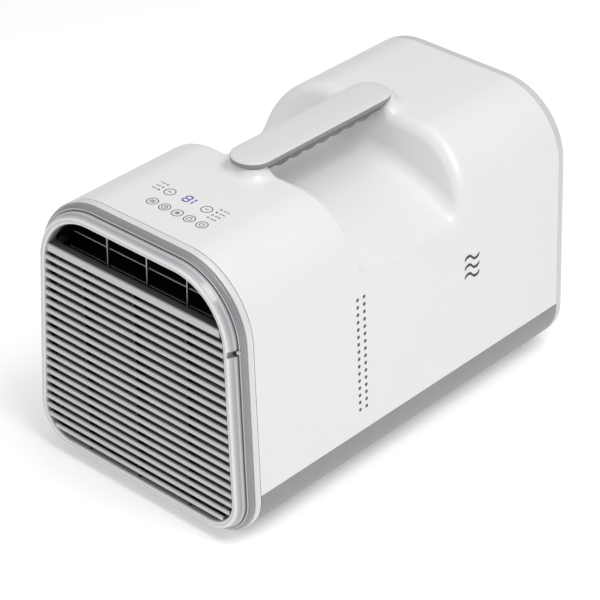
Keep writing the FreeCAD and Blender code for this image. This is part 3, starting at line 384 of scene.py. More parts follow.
def start_finish(name):
    """An empty node material with its shader and object coordinates."""
    material = bpy.data.materials.new(name)
    material.use_nodes = True
    tree = material.node_tree
    tree.nodes.clear()
    shader = add_node(tree, "BsdfPrincipled")
    add_node(tree, "OutputMaterial", {"Surface": shader})
    return material, tree, shader, add_node(tree, "TexCoord").outputs["Object"]


def shade_of(colour, share, limit=1.0):
    """A colour made darker or lighter, to a share of itself."""
    return [min(c * share, limit) for c in colour[:3]] + [1.0]


def moulded_plastic(name, colour, roughness, grain=1.1, relief=0.05, mottle=0.03, coat=0.0):
    """Injection-moulded thermoplastic: even colour, the faint spark-eroded grain of its steel mould."""
    material, tree, shader, place = start_finish(name)
    # real spark-eroded grain is about 0.15 mm across; it is drawn coarser so that it shows
    fine = add_node(tree, "TexNoise", {"Vector": place, "Scale": 1 / (grain * MM), "Detail": 3.0})
    bump = add_node(tree, "Bump", {"Height": fine, "Strength": relief, "Distance": GRAIN_DEPTH})
    broad = add_node(tree, "TexNoise", {"Vector": place, "Scale": 1 / (70 * MM), "Detail": 2.0})
    tone = add_node(tree, "ValToRGB", {"Fac": broad}, [(0.3, shade_of(colour, 1 - mottle)), (0.7, colour)])
    gloss = add_node(tree, "MapRange", {"Value": fine, "To Min": roughness - 0.04,
                                        "To Max": roughness + 0.05})
    set_sockets(shader, {"Base Color": tone, "Roughness": gloss, "Normal": bump, "IOR": ABS_IOR,
                         "Coat Weight": coat, "Coat Roughness": 0.12})
    return material


def silver_with_painted_shading(name, face, band_grey_and_flank_shade, roughness):
    """Silver-grey lacquer on ABS, with painted light by facing: painted shade on the flanks, a painted
    highlight where the bead turns nearly forward, and the plain colour on what faces straight forward.
    """
    material, tree, shader, place = start_finish(name)
    facing = add_node(tree, "SeparateXYZ", {"Vector": place.node.outputs["Normal"]})
    forward = add_node(tree, "MapRange", {"Value": facing.outputs["Y"], "From Min": 0.0, "From Max": -1.0})
    # painted light: the ramp paints shade on the flanks and a painted highlight where the bead turns nearly
    # forward
    tone = add_node(tree, "ValToRGB", {"Fac": forward}, [
        (0.0, band_grey_and_flank_shade), (0.30, shade_of(band_grey_and_flank_shade, 1.35)), (0.62, shade_of(band_grey_and_flank_shade, 2.4)),
        (0.80, shade_of(face, 1.42, 0.9)), (0.93, shade_of(face, 1.48, 0.9)), (1.0, face)])
    # lacquer flake is about 0.05 mm; it is drawn at 0.8 mm so that it shows as a faint sparkle
    flake = add_node(tree, "TexVoronoi", {"Vector": place, "Scale": 1 / (0.8 * MM)})
    bump = add_node(tree, "Bump", {"Height": flake, "Strength": 0.03, "Distance": GRAIN_DEPTH})
    gloss = add_node(tree, "MapRange", {"Value": flake, "To Min": roughness - 0.03,
                                        "To Max": roughness + 0.06})
    set_sockets(shader, {"Base Color": tone, "Roughness": gloss, "Normal": bump, "IOR": ABS_IOR,
                         "Coat Weight": 0.4, "Coat Roughness": 0.10})
    return material


def soft_rubber(name, colour, roughness):
    """Overmoulded elastomer: dull, slightly dusty, with a fine pebbled surface."""
    material, tree, shader, place = start_finish(name)
    pebble = add_node(tree, "TexVoronoi", {"Vector": place, "Scale": 1 / (1.4 * MM)}, feature="SMOOTH_F1")
    bump = add_node(tree, "Bump", {"Height": pebble, "Strength": 0.22, "Distance": 0.0003})
    dust = add_node(tree, "TexNoise", {"Vector": place, "Scale": 1 / (18 * MM), "Detail": 4.0})
    tone = add_node(tree, "ValToRGB", {"Fac": dust}, [(0.0, shade_of(colour, 0.90)), (1.0, colour)])
    set_sockets(shader, {"Base Color": tone, "Roughness": roughness, "Normal": bump,
                         "IOR": RUBBER_IOR})
    return material


def drawn_metal(name, colour, roughness, line, direction=(1.0, 1.0, 0.04)):
    """Drawn, rolled or plated metal: bright, with fine lines along the way it was worked."""
    material, tree, shader, place = start_finish(name)
    stretch = add_node(tree, "Mapping", {"Vector": place, "Scale": direction})
    lines = add_node(tree, "TexNoise", {"Vector": stretch, "Scale": 1 / (line * MM), "Detail": 2.0})
    bump = add_node(tree, "Bump", {"Height": lines, "Strength": 0.06, "Distance": GRAIN_DEPTH})
    gloss = add_node(tree, "MapRange", {"Value": lines, "To Min": roughness - 0.06,
                                        "To Max": roughness + 0.10})
    tarnish = add_node(tree, "TexNoise", {"Vector": place, "Scale": 1 / (25 * MM), "Detail": 3.0})
    tone = add_node(tree, "ValToRGB", {"Fac": tarnish}, [(0.0, shade_of(colour, 0.78)), (1.0, colour)])
    set_sockets(shader, {"Base Color": tone, "Roughness": gloss, "Normal": bump, "Metallic": 1.0})
    return material


def woven_net(name, code):
    """Nylon filter net: dark threads crossing at right angles, dull and full of small holes."""
    material, tree, shader, place = start_finish(name)
    # the real threads are about 0.8 mm apart; they are drawn at twice that so that they show
    scale = 2 / (1.6 * MM) / 6.2832
    threads = [add_node(tree, "TexWave", {"Vector": place, "Scale": scale}, bands_direction=way)
               for way in "XZ"]
    both = add_node(tree, "Math", {i: thread.outputs["Fac"] for i, thread in enumerate(threads)},
                    operation="MAXIMUM")
    tone = add_node(tree, "ValToRGB", {"Fac": both}, [(0.55, linear("#050506")), (0.9, linear(code))])
    bump = add_node(tree, "Bump", {"Height": both, "Strength": 0.5, "Distance": 0.0004})
    set_sockets(shader, {"Base Color": tone, "Roughness": 0.75, "Normal": bump, "IOR": ABS_IOR})
    return material


def foam_board(name, colour):
    """Expanded polystyrene: matt white with the outlines of its fused beads, about 4 mm across."""
    material, tree, shader, place = start_finish(name)
    beads = add_node(tree, "TexVoronoi", {"Vector": place, "Scale": 1 / (4.0 * MM)},
                     feature="DISTANCE_TO_EDGE")
    tone = add_node(tree, "ValToRGB", {"Fac": beads}, [(0.0, shade_of(colour, 0.75)), (0.18, colour)])
    bump = add_node(tree, "Bump", {"Height": beads, "Strength": 0.4, "Distance": 0.0005})
    set_sockets(shader, {"Base Color": tone, "Roughness": 0.85, "Normal": bump})
    return material


def circuit_board(name, code):
    """Glass-fibre board under green solder mask: satin, with darker copper tracks below."""
    material, tree, shader, place = start_finish(name)
    tracks = add_node(tree, "TexBrick", {"Vector": place, "Scale": 1 / (9 * MM), "Color1": linear(code),
                                         "Color2": shade_of(linear(code), 0.75), "Mortar": linear("#0A2A1A"),
                                         "Mortar Size": 0.06})
    bump = add_node(tree, "Bump", {"Height": tracks.outputs["Fac"], "Strength": 0.2, "Distance": 0.0001})
    set_sockets(shader, {"Base Color": tracks, "Roughness": 0.35, "Normal": bump})
    return material


def blade_with_pale_edge(name, base, edge, limit):
    """Blade coloured black, pale along its front edge up to a depth from the front seam."""
    material, tree, shader, place = start_finish(name)
    depth = add_node(tree, "SeparateXYZ", {"Vector": place})
    # the blade is black behind a depth from the front seam and pale in front of it
    mask = add_node(tree, "MapRange", {"Value": depth.outputs["Y"],
                                       "From Min": FRONT_SEAM + (limit - 0.2) * MM,
                                       "From Max": FRONT_SEAM + (limit + 0.2) * MM})
    tone = add_node(tree, "ValToRGB", {"Fac": mask}, [(0.0, linear(edge)), (1.0, base)])
    speck = add_node(tree, "TexNoise", {"Vector": place, "Scale": 1 / (1.2 * MM), "Detail": 2.0})
    gloss = add_node(tree, "MapRange", {"Value": speck, "To Min": 0.30, "To Max": 0.42})
    bump = add_node(tree, "Bump", {"Height": speck, "Strength": 0.05, "Distance": GRAIN_DEPTH})
    set_sockets(shader, {"Base Color": tone, "Roughness": gloss, "Normal": bump, "IOR": ABS_IOR})
    return material


def printed_ink(name, colour):
    """Pad-printed ink: a thin satin film with slightly uneven cover."""
    material, tree, shader, place = start_finish(name)
    cover = add_node(tree, "TexNoise", {"Vector": place, "Scale": 1 / (0.9 * MM), "Detail": 2.0})
    tone = add_node(tree, "ValToRGB", {"Fac": cover}, [(0.0, shade_of(colour, 0.88)), (1.0, colour)])
    set_sockets(shader, {"Base Color": tone, "Roughness": 0.5, "IOR": RUBBER_IOR})
    return material


def lit_digits(name, colour, strength):
    """Digits lit through the shell: an even blue-violet glow, a touch uneven from the lamp behind."""
    material, tree, shader, place = start_finish(name)
    glow = add_node(tree, "TexNoise", {"Vector": place, "Scale": 1 / (3.0 * MM), "Detail": 1.0})
    tone = add_node(tree, "ValToRGB", {"Fac": glow}, [(0.0, shade_of(colour, 0.85)), (1.0, colour)])
    set_sockets(shader, {"Base Color": tone, "Emission Color": tone, "Emission Strength": strength,
                         "Roughness": 0.3})
    return material


def stage_paper(name, code):
    """Seamless studio paper: matt and very faintly fibrous."""
    material, tree, shader, place = start_finish(name)
    fibre = add_node(tree, "TexNoise", {"Vector": place, "Scale": 1 / (2.5 * MM), "Detail": 4.0})
    bump = add_node(tree, "Bump", {"Height": fibre, "Strength": 0.03, "Distance": GRAIN_DEPTH})
    set_sockets(shader, {"Base Color": linear(code), "Emission Color": linear(code),
                         "Emission Strength": 0.29, "Roughness": 0.9, "Specular IOR Level": 0.1,
                         "Normal": bump})
    return material


FINISH = {}


def mix_finishes():
    """Mixes every finish once, most of them by the name of the material slot that they give."""
    look = settings("finish")
    plastic = moulded_plastic
    FINISH.update({
        "shell_white": plastic("white ABS, fine satin mould grain", look.shell, 0.34, 1.3, 0.035, 0.012),
        "trim_white": plastic("white ABS, polished mould", look.trim, 0.20, 1.3, 0.02, 0.012, 0.3),
        "rear_trim": plastic("pale grey ABS, polished mould", look.rear_trim, 0.24, 1.3, 0.02, 0.02, 0.3),
        "bezel_silver": plastic("grey ABS, polished mould", look.band_grey_and_flank_shade, 0.24, 1.2, 0.03, 0.03, 0.4),
        # the front frame's silver-grey, with painted shade on its flanks and a painted highlight on its bead
        "silver_frame": silver_with_painted_shading("silver lacquer on ABS, with painted highlight and shade", look.front, look.band_grey_and_flank_shade, 0.26),
        "handle_edge": plastic("mid grey ABS, satin mould edge", look.handle_edge, 0.34, 1.3, 0.04, 0.03),
        # painted shadow inside the vent holes; the outlet tray also takes this dark grey
        "hole_shadow": plastic("ABS deep in the air holes", linear("#505154"), 0.6, 1.3, 0.05, 0.2),
        "grille_grey": plastic("silver-grey ABS, satin mould", look.front, 0.30, 1.2, 0.04, 0.03, 0.2),
        "base_grey": plastic("grey ABS, textured mould", look.base, 0.42, 1.4, 0.09, 0.04),
        "handle_grey": plastic("pale grey ABS, satin mould", look.handle, 0.36, 1.3, 0.05, 0.02),
        "duct_black": plastic("black ABS, textured mould", look.duct, 0.48, 1.4, 0.08, 0.15),
        "collar_grey": plastic("mid grey ABS, satin mould", linear("#74767B"), 0.40, 1.3, 0.06, 0.04),
        "inlet_black": plastic("black nylon, moulded", linear("#111114"), 0.38, 1.2, 0.06, 0.1),
        "filter_frame": plastic("dark polypropylene frame", linear("#26272A"), 0.5, 1.2, 0.06, 0.08),
        "compressor_black": plastic("black baked enamel on steel", linear("#17181A"), 0.22, 2.2, 0.10,
                                    0.1, 0.5),
        "grip_grey": soft_rubber("grey soft-touch elastomer", look.grip, 0.66),
        "foot_rubber": soft_rubber("dark moulded rubber", linear("#2A2A2D"), 0.75),
        "filter_dark": woven_net("woven nylon filter net", "#2C2D31"),
        "inner_white": foam_board("expanded polystyrene board", linear("#DADAD4")),
        "board_green": circuit_board("solder mask on glass-fibre board", "#0D5B33"),
        "copper": drawn_metal("drawn copper tube", linear("#C77A54"), 0.32, 0.8),
        "fin_aluminium": drawn_metal("rolled aluminium fin", linear("#C5C9CE"), 0.38, 0.7, (1.0, 0.05, 1.0)),
        "motor_steel": drawn_metal("zinc-plated pressed steel", linear("#B9BCC0"), 0.36, 0.9, (1.0, 0.1, 1.0)),
        "screw_steel": drawn_metal("nickel-plated steel", linear("#D2D3D5"), 0.22, 0.5),
        "ink_dark": printed_ink("dark grey pad-printed ink", look.ink),
        "digit_blue": lit_digits("blue light through the shell", look.display, look.display_light),
        "louvre_grey": blade_with_pale_edge("black blade, pale along its front edge", look.duct, "#C9CACC", 7.35),
        "vane_black": blade_with_pale_edge("black vane, pale along its front edge", look.duct, "#E4E5E6", -2.2),
    })


def settings(kind):
    """One of the scene's setting groups."""
    return getattr(bpy.context.scene, "cooler_" + kind)


# ---- upper shell ------------------------------------------------------------------------
def round_join(a, b, radius):
    """Distance to two solids joined with a rounded inside corner."""
    grown = np.hypot(np.maximum(radius - a, 0), np.maximum(radius - b, 0))
    return np.maximum(np.minimum(a, b), radius) - grown


def round_meet(a, b, radius):
    """Distance to what two solids share, its edge rounded."""
    grown = np.hypot(np.maximum(a + radius, 0), np.maximum(b + radius, 0))
    return np.minimum(np.maximum(a, b), -radius) + grown


def ease(value, low, high):
    """0 below low, 1 above high, and smooth between."""
    t = np.clip((value - low) / (high - low), 0, 1)
    return t * t * (3 - 2 * t)


POST_X = 6.0              # half the straight part of a handle post
POST_FOOT = 13.0          # rounding where a post meets the body
POST_RIM = 3.2            # rounding of the scoop's rim beside a post
SEAM_GAP = 0.4            # between the shell and the base, and between the shell and the rear ring
CUT_IN = 0.1              # the shell ends this far inside its seams


class ShellForm:
    """The shell as one smooth form: rounded body, hand scoop, and the two handle posts."""

    def __init__(self):
        self.section = Section(settings("body"))
        scoop = settings("scoop")
        self.front = scoop.front / MM
        self.rear = scoop.rear / MM
        self.rear_lean = scoop.rear_lean
        self.edge = scoop.edge_depth / MM
        self.crest = scoop.crest_depth / MM
        self.bends = (scoop.front_bend / MM, scoop.rear_bend / MM)
        self.rims = (scoop.front_rim / MM, scoop.rear_rim / MM)
        top = self.section.top
        self.rear_top = self.rear + self.rear_lean * self.edge
        self.posts = ((self.front - 12, 14.0), (self.rear_top + 12, 14.0))
        self.post_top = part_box("handle_cap")[0].z / MM
        self.reach = self.section.half_width(top - self.edge)

    def body(self, x, z):
        section = self.section
        ax = np.abs(x) - section.top_x
        az = z - section.top_z
        c, s = math.cos(section.side_angle), math.sin(section.side_angle)
        side = ax * c + az * s - section.top_radius
        flat = az - section.top_radius
        corner = np.hypot(ax, az) - section.top_radius
        below_side = (-s * ax + c * az) < 0
        left = ax < 0
        return np.where(below_side & left, np.maximum(side, flat),
                        np.where(below_side, side, np.where(left, flat, corner)))

    def scoop(self, x, y, z):
        ratio = np.minimum(np.abs(x) / self.reach, 1.25)
        depth = self.crest + (self.edge - self.crest) * ratio ** 2
        steep = 2 * (self.edge - self.crest) * ratio / self.reach
        floor = (self.section.top - depth - z) / np.sqrt(1 + steep ** 2)
        front = self.front - y
        wall = self.rear + self.rear_lean * (z - (self.section.top - self.edge))
        rear = (y - wall) / math.sqrt(1 + self.rear_lean ** 2)
        return np.maximum(round_meet(floor, front, self.bends[0]), round_meet(floor, rear, self.bends[1]))

    def post(self, x, y, z, cy, half_y):
        across = np.maximum(np.abs(x) - POST_X, 0)
        return np.maximum(np.hypot(across, y - cy) - half_y, z - self.post_top)

    def distance(self, points):
        x, y, z = points[..., 0], points[..., 1], points[..., 2]
        solid = self.body(x, z)
        nearest = np.full(x.shape, 1e3)
        for cy, half_y in self.posts:
            post = self.post(x, y, z, cy, half_y)
            solid = round_join(solid, post, POST_FOOT)
            nearest = np.minimum(nearest, post)
        rim = self.rims[0] + (self.rims[1] - self.rims[0]) * ease(y, self.front + 12, self.rear_top - 12)
        rim = rim + (POST_RIM - rim) * ease(-nearest, -12, -1)
        return round_meet(solid, -self.scoop(x, y, z), rim)

    def normals(self, points):
        step = 0.05
        out = np.empty_like(points)
        for axis in range(3):
            shift = np.zeros(3)
            shift[axis] = step
            out[:, axis] = self.distance(points + shift) - self.distance(points - shift)
        return out / np.maximum(np.linalg.norm(out, axis=1), 1e-9)[:, None]


def net_surface(form, low, high, step):
    """Quads near a form's surface: one point in each grid cell that the surface crosses."""
    axes = [np.arange(low[i], high[i] + step, step) for i in range(3)]
    grid = np.stack(np.meshgrid(*axes, indexing="ij"), axis=-1)
    value = form.distance(grid)
    inside = value < 0
    cells = tuple(n - 1 for n in value.shape)
    total = np.zeros(cells + (3,))
    count = np.zeros(cells)
    corners = [(i, j, k) for i in (0, 1) for j in (0, 1) for k in (0, 1)]

    def block(field, corner):
        return field[tuple(slice(c, c + n) for c, n in zip(corner, cells))]

    for a in corners:
        for axis in range(3):
            if a[axis]:
                continue
            b = tuple(1 if i == axis else a[i] for i in range(3))
            va, vb = block(value, a), block(value, b)
            crossed = (va < 0) != (vb < 0)
            share = np.where(crossed, va / np.where(crossed, va - vb, 1.0), 0.0)
            spot = block(grid, a) + (block(grid, b) - block(grid, a)) * share[..., None]
            total += np.where(crossed[..., None], spot, 0.0)
            count += crossed
    used = count > 0
    index = np.full(cells, -1)
    index[used] = np.arange(used.sum())
    points = total[used] / count[used][:, None]
    faces = []
    for axis in range(3):
        u, v = [i for i in range(3) if i != axis]
        first = [slice(1, n) for n in cells]
        first[axis] = slice(0, cells[axis])
        ahead = list(first)
        ahead[axis] = slice(1, cells[axis] + 1)
        change = inside[tuple(first)] != inside[tuple(ahead)]
        where = np.argwhere(change)
        base = where + np.array([0 if i == axis else 1 for i in range(3)])
        ring = []
        for du, dv in ((0, 0), (1, 0), (1, 1), (0, 1)):
            cell = base.copy()
            cell[:, u] -= du
            cell[:, v] -= dv
            ring.append(index[cell[:, 0], cell[:, 1], cell[:, 2]])
        faces.append(np.stack(ring, axis=1))
    return points, np.concatenate(faces)


def make_shell():
    """Meshes the shell's form, trims it at the seams and gives it its wall."""
    form = ShellForm()
    section = form.section
    length = (REAR_SEAM - FRONT_SEAM) / MM
    seam = BASE_SEAM / MM + SEAM_GAP
    step = 3.0
    wide = section.half + 6
    points, quads = net_surface(form, (-wide, -9.0, seam - 9), (wide, length + 9, form.post_top + 9), step)
    for _ in range(5):
        normal = form.normals(points)
        points = points - normal * form.distance(points)[:, None]
    mesh = bmesh.new()
    verts = [mesh.verts.new(p) for p in points]
    for a, b, c, d in quads:
        mesh.faces.new((verts[a], verts[b], verts[c], verts[d]))
    ends = (CUT_IN, length - CUT_IN)
    for spot, toward in (((0, ends[0], 0), (0, -1, 0)), ((0, ends[1], 0), (0, 1, 0)),
                         ((0, 0, seam), (0, 0, -1))):
        bmesh.ops.bisect_plane(mesh, geom=mesh.verts[:] + mesh.edges[:] + mesh.faces[:], dist=1e-4,
                               plane_co=spot, plane_no=toward, clear_outer=True)
    bmesh.ops.remove_doubles(mesh, verts=mesh.verts, dist=0.02)
    bmesh.ops.dissolve_degenerate(mesh, edges=mesh.edges, dist=0.01)
    mesh.verts.index_update()
    outer = np.array([v.co for v in mesh.verts])
    normal = form.normals(outer)
    centre_faces = [[v.index for v in face.verts] for face in mesh.faces]
    border = [(e.verts[0].index, e.verts[1].index) for e in mesh.edges if len(e.link_faces) == 1]
    mesh.free()
    faces = []
    for face in centre_faces:
        a, b, c = outer[face[0]], outer[face[1]], outer[face[2]]
        flat = np.cross(b - a, c - a)
        faces.append(face if flat @ normal[face[0]] > 0 else face[::-1])
    wall = settings("body").wall / MM
    count = len(outer)
    inner = outer - normal * wall
    # inside the cut ends the wall stays square to the seam
    for axis, at in ((1, ends[0]), (1, ends[1]), (2, seam)):
        cut = np.abs(outer[:, axis] - at) < 0.02
        inner[cut, axis] = at
    loops = [tuple(normal[i]) for face in faces for i in face]
    backs = [[i + count for i in face[::-1]] for face in faces]
    loops += [tuple(-normal[i - count]) for face in backs for i in face]
    all_points = np.concatenate([outer, inner])
    sides = []
    for a, b in border:
        side = (a, b, b + count, a + count)
        corner = [all_points[i] for i in side]
        flat = np.cross(corner[1] - corner[0], corner[2] - corner[0])
        middle = np.mean(corner, axis=0)
        toward = np.zeros(3)
        if abs(middle[2] - seam) < 0.05:
            toward[2] = -1
        else:
            toward[1] = -1 if middle[1] < length / 2 else 1
        loops += [tuple(toward)] * 4
        sides.append(side[::-1] if flat @ toward < 0 else side)
    result = bpy.data.meshes.new("upper_shell")
    result.from_pydata(in_frame(all_points).tolist(), [], faces + backs + sides)
    result.polygons.foreach_set("use_smooth", [True] * len(result.polygons))
    result.normals_split_custom_set(loops)
    return place_piece("upper_shell", result, "shell_white", ["upper_casing"])


VENT_ROWS = 16
VENT_PITCH, VENT_TOP = 0.0279, 0.688      # as shares of the body's height
VENT_RADIUS = 2.12
VENT_CUP = 1.2            # depth of the dark cup, which is painted shade standing in for the hole's depth
VENT_LIP = ((2.55, -0.3), (2.5, 0.02), (2.3, 0.06), (VENT_RADIUS, 0.0), (2.05, -0.3))   # radius, lift


def make_vent_holes():
    """Small air holes in two upright rows on each side, each a shallow dark cup of painted shade, standing in
    for the hole's depth, with a soft lip.
    """
    section = Section(settings("body"))
    scoop_front = settings("scoop").front / MM
    lips, shade_cups = Shape(), Shape()
    height = section.top - section.bottom
    turns = [(math.cos(t), math.sin(t)) for t in np.linspace(0, 2 * math.pi, 14, endpoint=False)]
    along = Vector((0, 1, 0))

    def rings(centre, across, up, sizes):
        return [[centre + across * lift + (along * c + up * s) * radius for c, s in turns]
                for radius, lift in sizes]

    for side in (-1, 1):
        across = Vector((side * math.cos(section.side_angle), 0, math.sin(section.side_angle)))
        up = Vector((-side * math.sin(section.side_angle), 0, math.cos(section.side_angle)))
        for y in (scoop_front - 6, scoop_front + 4):
            for i in range(VENT_ROWS):
                z = section.bottom + height * VENT_TOP - i * (height * VENT_PITCH)
                centre = Vector((side * section.half_width(z), y, z))
                lips.tube(rings(centre, across, up, VENT_LIP), cap=False)
                # the cup is coloured dark as painted shade inside the hole
                shade_cups.tube(rings(centre, across, up, ((VENT_RADIUS, -VENT_CUP), (VENT_RADIUS, 0.04))))
    make_piece("vent_lips", lips, "shell_white")
    make_piece("vent_holes", shade_cups, "hole_shadow")


# ---- front ------------------------------------------------------------------------------
def make_front_rings():
    """Pale ring at the front seam, the grey band with a thin white bead at its front lip as a painted
    highlight, and the outlet's throat.
    """
    section = Section(settings("body"))
    rim = section.rim()
    ring = [(5.2, -0.4), (0.4, -0.4), (0.0, -0.8), (0.0, -7.0), (0.2, -7.6),
            (0.7, -7.95), (1.4, -8.0), (5.2, -8.0)]
    make_piece("front_ring_trim", swept(rim, ring), "trim_white", ["front_ring"])
    lip = [(3.5, -0.6), (3.5, 6.0), (5.1, 6.0), (5.1, -0.6)]
    make_piece("front_ring_lip", swept(rim, lip), "trim_white")
    band = [(5.4, -8.45), (1.5, -8.45), (1.2, -8.75), (1.2, -10.6), (1.45, -11.35), (2.45, -12.4),
            (2.5, -13.05), (3.0, -13.4), (4.1, -14.3), (4.9, -14.6), (6.8, -14.6), (7.0, -14.4),
            (7.0, -13.9), (11.6, -13.9), (11.6, 7.0), (5.4, 7.0)]
    make_piece("front_band", swept(rim, band), "bezel_silver", ["front_bezel"])
    # a thin white bead at the band's front lip: a painted highlight along the band's edge
    highlight_bead = [(4.7, -14.3), (4.7, -14.8), (5.0, -14.95), (5.4, -14.9), (5.6, -14.65), (5.6, -14.3)]
    make_piece("band_highlight_bead", swept(rim, highlight_bead), "trim_white")
    sill = section.sill()
    inset = settings("front").frame_inset / MM
    upper = [p for p in rim if p[1] - p[3] * inset >= sill - 4]
    throat = [(11.7, -11.8), (inset - 0.2, -11.8), (inset, -11.5), (inset, 5.8), (11.7, 5.8)]
    make_piece("outlet_throat", swept(upper, throat, closed=False), "duct_black")


def cut_out(piece, boxes):
    """Takes boxes (low corner, high corner in millimetres) out of a piece."""
    shape = Shape()
    for low, high in boxes:
        (x0, y0, z0), (x1, y1, z1) = low, high
        rows = [[(x0, y, z0), (x1, y, z0), (x1, y, z1), (x0, y, z1)] for y in (y0, y1)]
        shape.tube(rows)
    cutter = add_object("cutter", closed_mesh("cutter", shape))
    tool = piece.modifiers.new("cut", "BOOLEAN")
    tool.object = cutter
    tool.operation = "DIFFERENCE"
    tool.solver = "EXACT"
    bpy.context.view_layer.update()
    seen = piece.evaluated_get(bpy.context.evaluated_depsgraph_get())
    piece_mesh = bpy.data.meshes.new_from_object(seen)
    piece.modifiers.clear()
    piece.data = piece_mesh
    bpy.data.objects.remove(cutter)
    shade_smooth(piece_mesh)


NOTCH_RISE = 228.0        # finger notch, above the body's underside
SLAT_FRONT, SLAT_BACK, TRAY_BACK = -25.0, -22.6, -15.2
RIB_SPOTS = (-72, 0, 72)
RIB_HALF = 1.2


def make_front_panel():
    """Rounded front frame with its notches, each backed by a black liner as painted shade in the slit, the bar
    and tray under the outlet, slats and ribs.
    """
    section = Section(settings("body"))
    front = settings("front")
    inset = front.frame_inset / MM
    rim = section.rim(side_step=12.0)
    crown = smooth_path([(7.2, -17.0), (8.3, -19.0), (9.3, -22.0), (10.6, -24.4), (12.4, -25.7),
                         (14.4, -26.0), (16.2, -25.5), (17.5, -24.2), (18.2, -22.6), (inset, -21.0)])
    bead = [(7.4, -14.75), (7.2, -14.95)] + crown + [(inset, -14.8)]
    frame_piece = make_piece("panel_frame", swept(rim, bead), "silver_frame",
                             ["front_panel"], "front_panel")
    notch_z = section.bottom + NOTCH_RISE
    half = front.notch_height / MM / 2
    reach = section.half_width(notch_z) - 12.0
    cut_out(frame_piece, [((side * reach if side > 0 else -200, -40, notch_z - half),
                           (200 if side > 0 else side * reach, 5, notch_z + half)) for side in (-1, 1)])
    sill_z = section.sill()
    bars = Shape()
    sill_half = section.opening(sill_z, inset - 1.2)
    low, high = sill_z - 10.4, sill_z - 1.8
    bars.bar(rounded_path([(SLAT_FRONT, low), (-22.4, low), (-22.4, high), (SLAT_FRONT, high)],
                          [0.9, 0.3, 0.4, 0.8]), -sill_half, sill_half)
    tray = Shape()
    tray.bar(rounded_path([(-22.3, low), (TRAY_BACK, low), (TRAY_BACK, sill_z - 0.8),
                           (-22.3, high - 0.3)], [0.3] * 4), -sill_half, sill_half)
    # a black liner behind each notch: painted shade in the slit
    liner = Shape()
    for side in (-1, 1):
        near, far = section.half_width(notch_z) - 12.2, section.half_width(notch_z) - 7.6
        path = rounded_path([(-15.7, notch_z - half), (-14.9, notch_z - half), (-14.9, notch_z + half),
                             (-15.7, notch_z + half)], [0.2] * 4, 2)
        liner.bar(path, min(side * near, side * far), max(side * near, side * far))
    make_piece("notch_shade_liner", liner, "duct_black", (), "front_panel")
    make_piece("outlet_tray", tray, "hole_shadow", (), "front_panel")
    height = front.slat_height / MM
    pitch = front.slat_pitch / MM
    z = low - (pitch - height) - height / 2
    while z > section.bottom + inset + height:
        under, over = z - height / 2, z + height / 2
        width = min(section.opening(over, inset - 1.2), section.opening(under, inset - 1.2))
        face = [(SLAT_FRONT, under), (SLAT_BACK, under + 0.8), (SLAT_BACK, over), (SLAT_FRONT, over - 0.3)]
        bars.bar(rounded_path(face, [0.9, 0.4, 0.4, 0.9]), -width, width)
        z -= pitch
    make_piece("panel_slats", bars, "grille_grey", (), "front_panel")
    ribs = Shape()
    rib = rounded_path([(-22.4, section.bottom + 14.0), (TRAY_BACK, section.bottom + 14.0),
                        (TRAY_BACK, sill_z - 5), (-22.4, sill_z - 5)], [0.6] * 4, 3)
    for x in RIB_SPOTS:
        ribs.bar(rib, x - RIB_HALF, x + RIB_HALF)
    rail_rim = [p for p in rim if p[1] - p[3] * inset <= sill_z - 1]
    start = rail_rim.index(max(rail_rim, key=lambda p: p[1] if p[0] < 0 else -1))
    rail_rim = rail_rim[start:] + rail_rim[:start]
    rail = [(inset - 1.4, -18.6), (inset + 2.2, -18.6), (inset + 2.2, TRAY_BACK), (inset - 1.4, TRAY_BACK)]
    swept(rail_rim, rail, False, ribs)
    make_piece("panel_ribs", ribs, "duct_black", (), "front_panel")


# ---- handle ---------------------------------------------------------------------------
def slot_loop(cx, cy, half_x, half_y, steps=18):
    """A slot-shaped loop (x, y) with round ends."""
    radius = min(half_x, half_y)
    loop = []
    for quarter, (sx, sy) in enumerate(((1, 1), (-1, 1), (-1, -1), (1, -1))):
        for k in range(steps + 1):
            angle = math.pi / 2 * (quarter + k / steps)
            loop.append((cx + sx * (half_x - radius) + radius * math.cos(angle),
                         cy + sy * (half_y - radius) + radius * math.sin(angle)))
    return loop


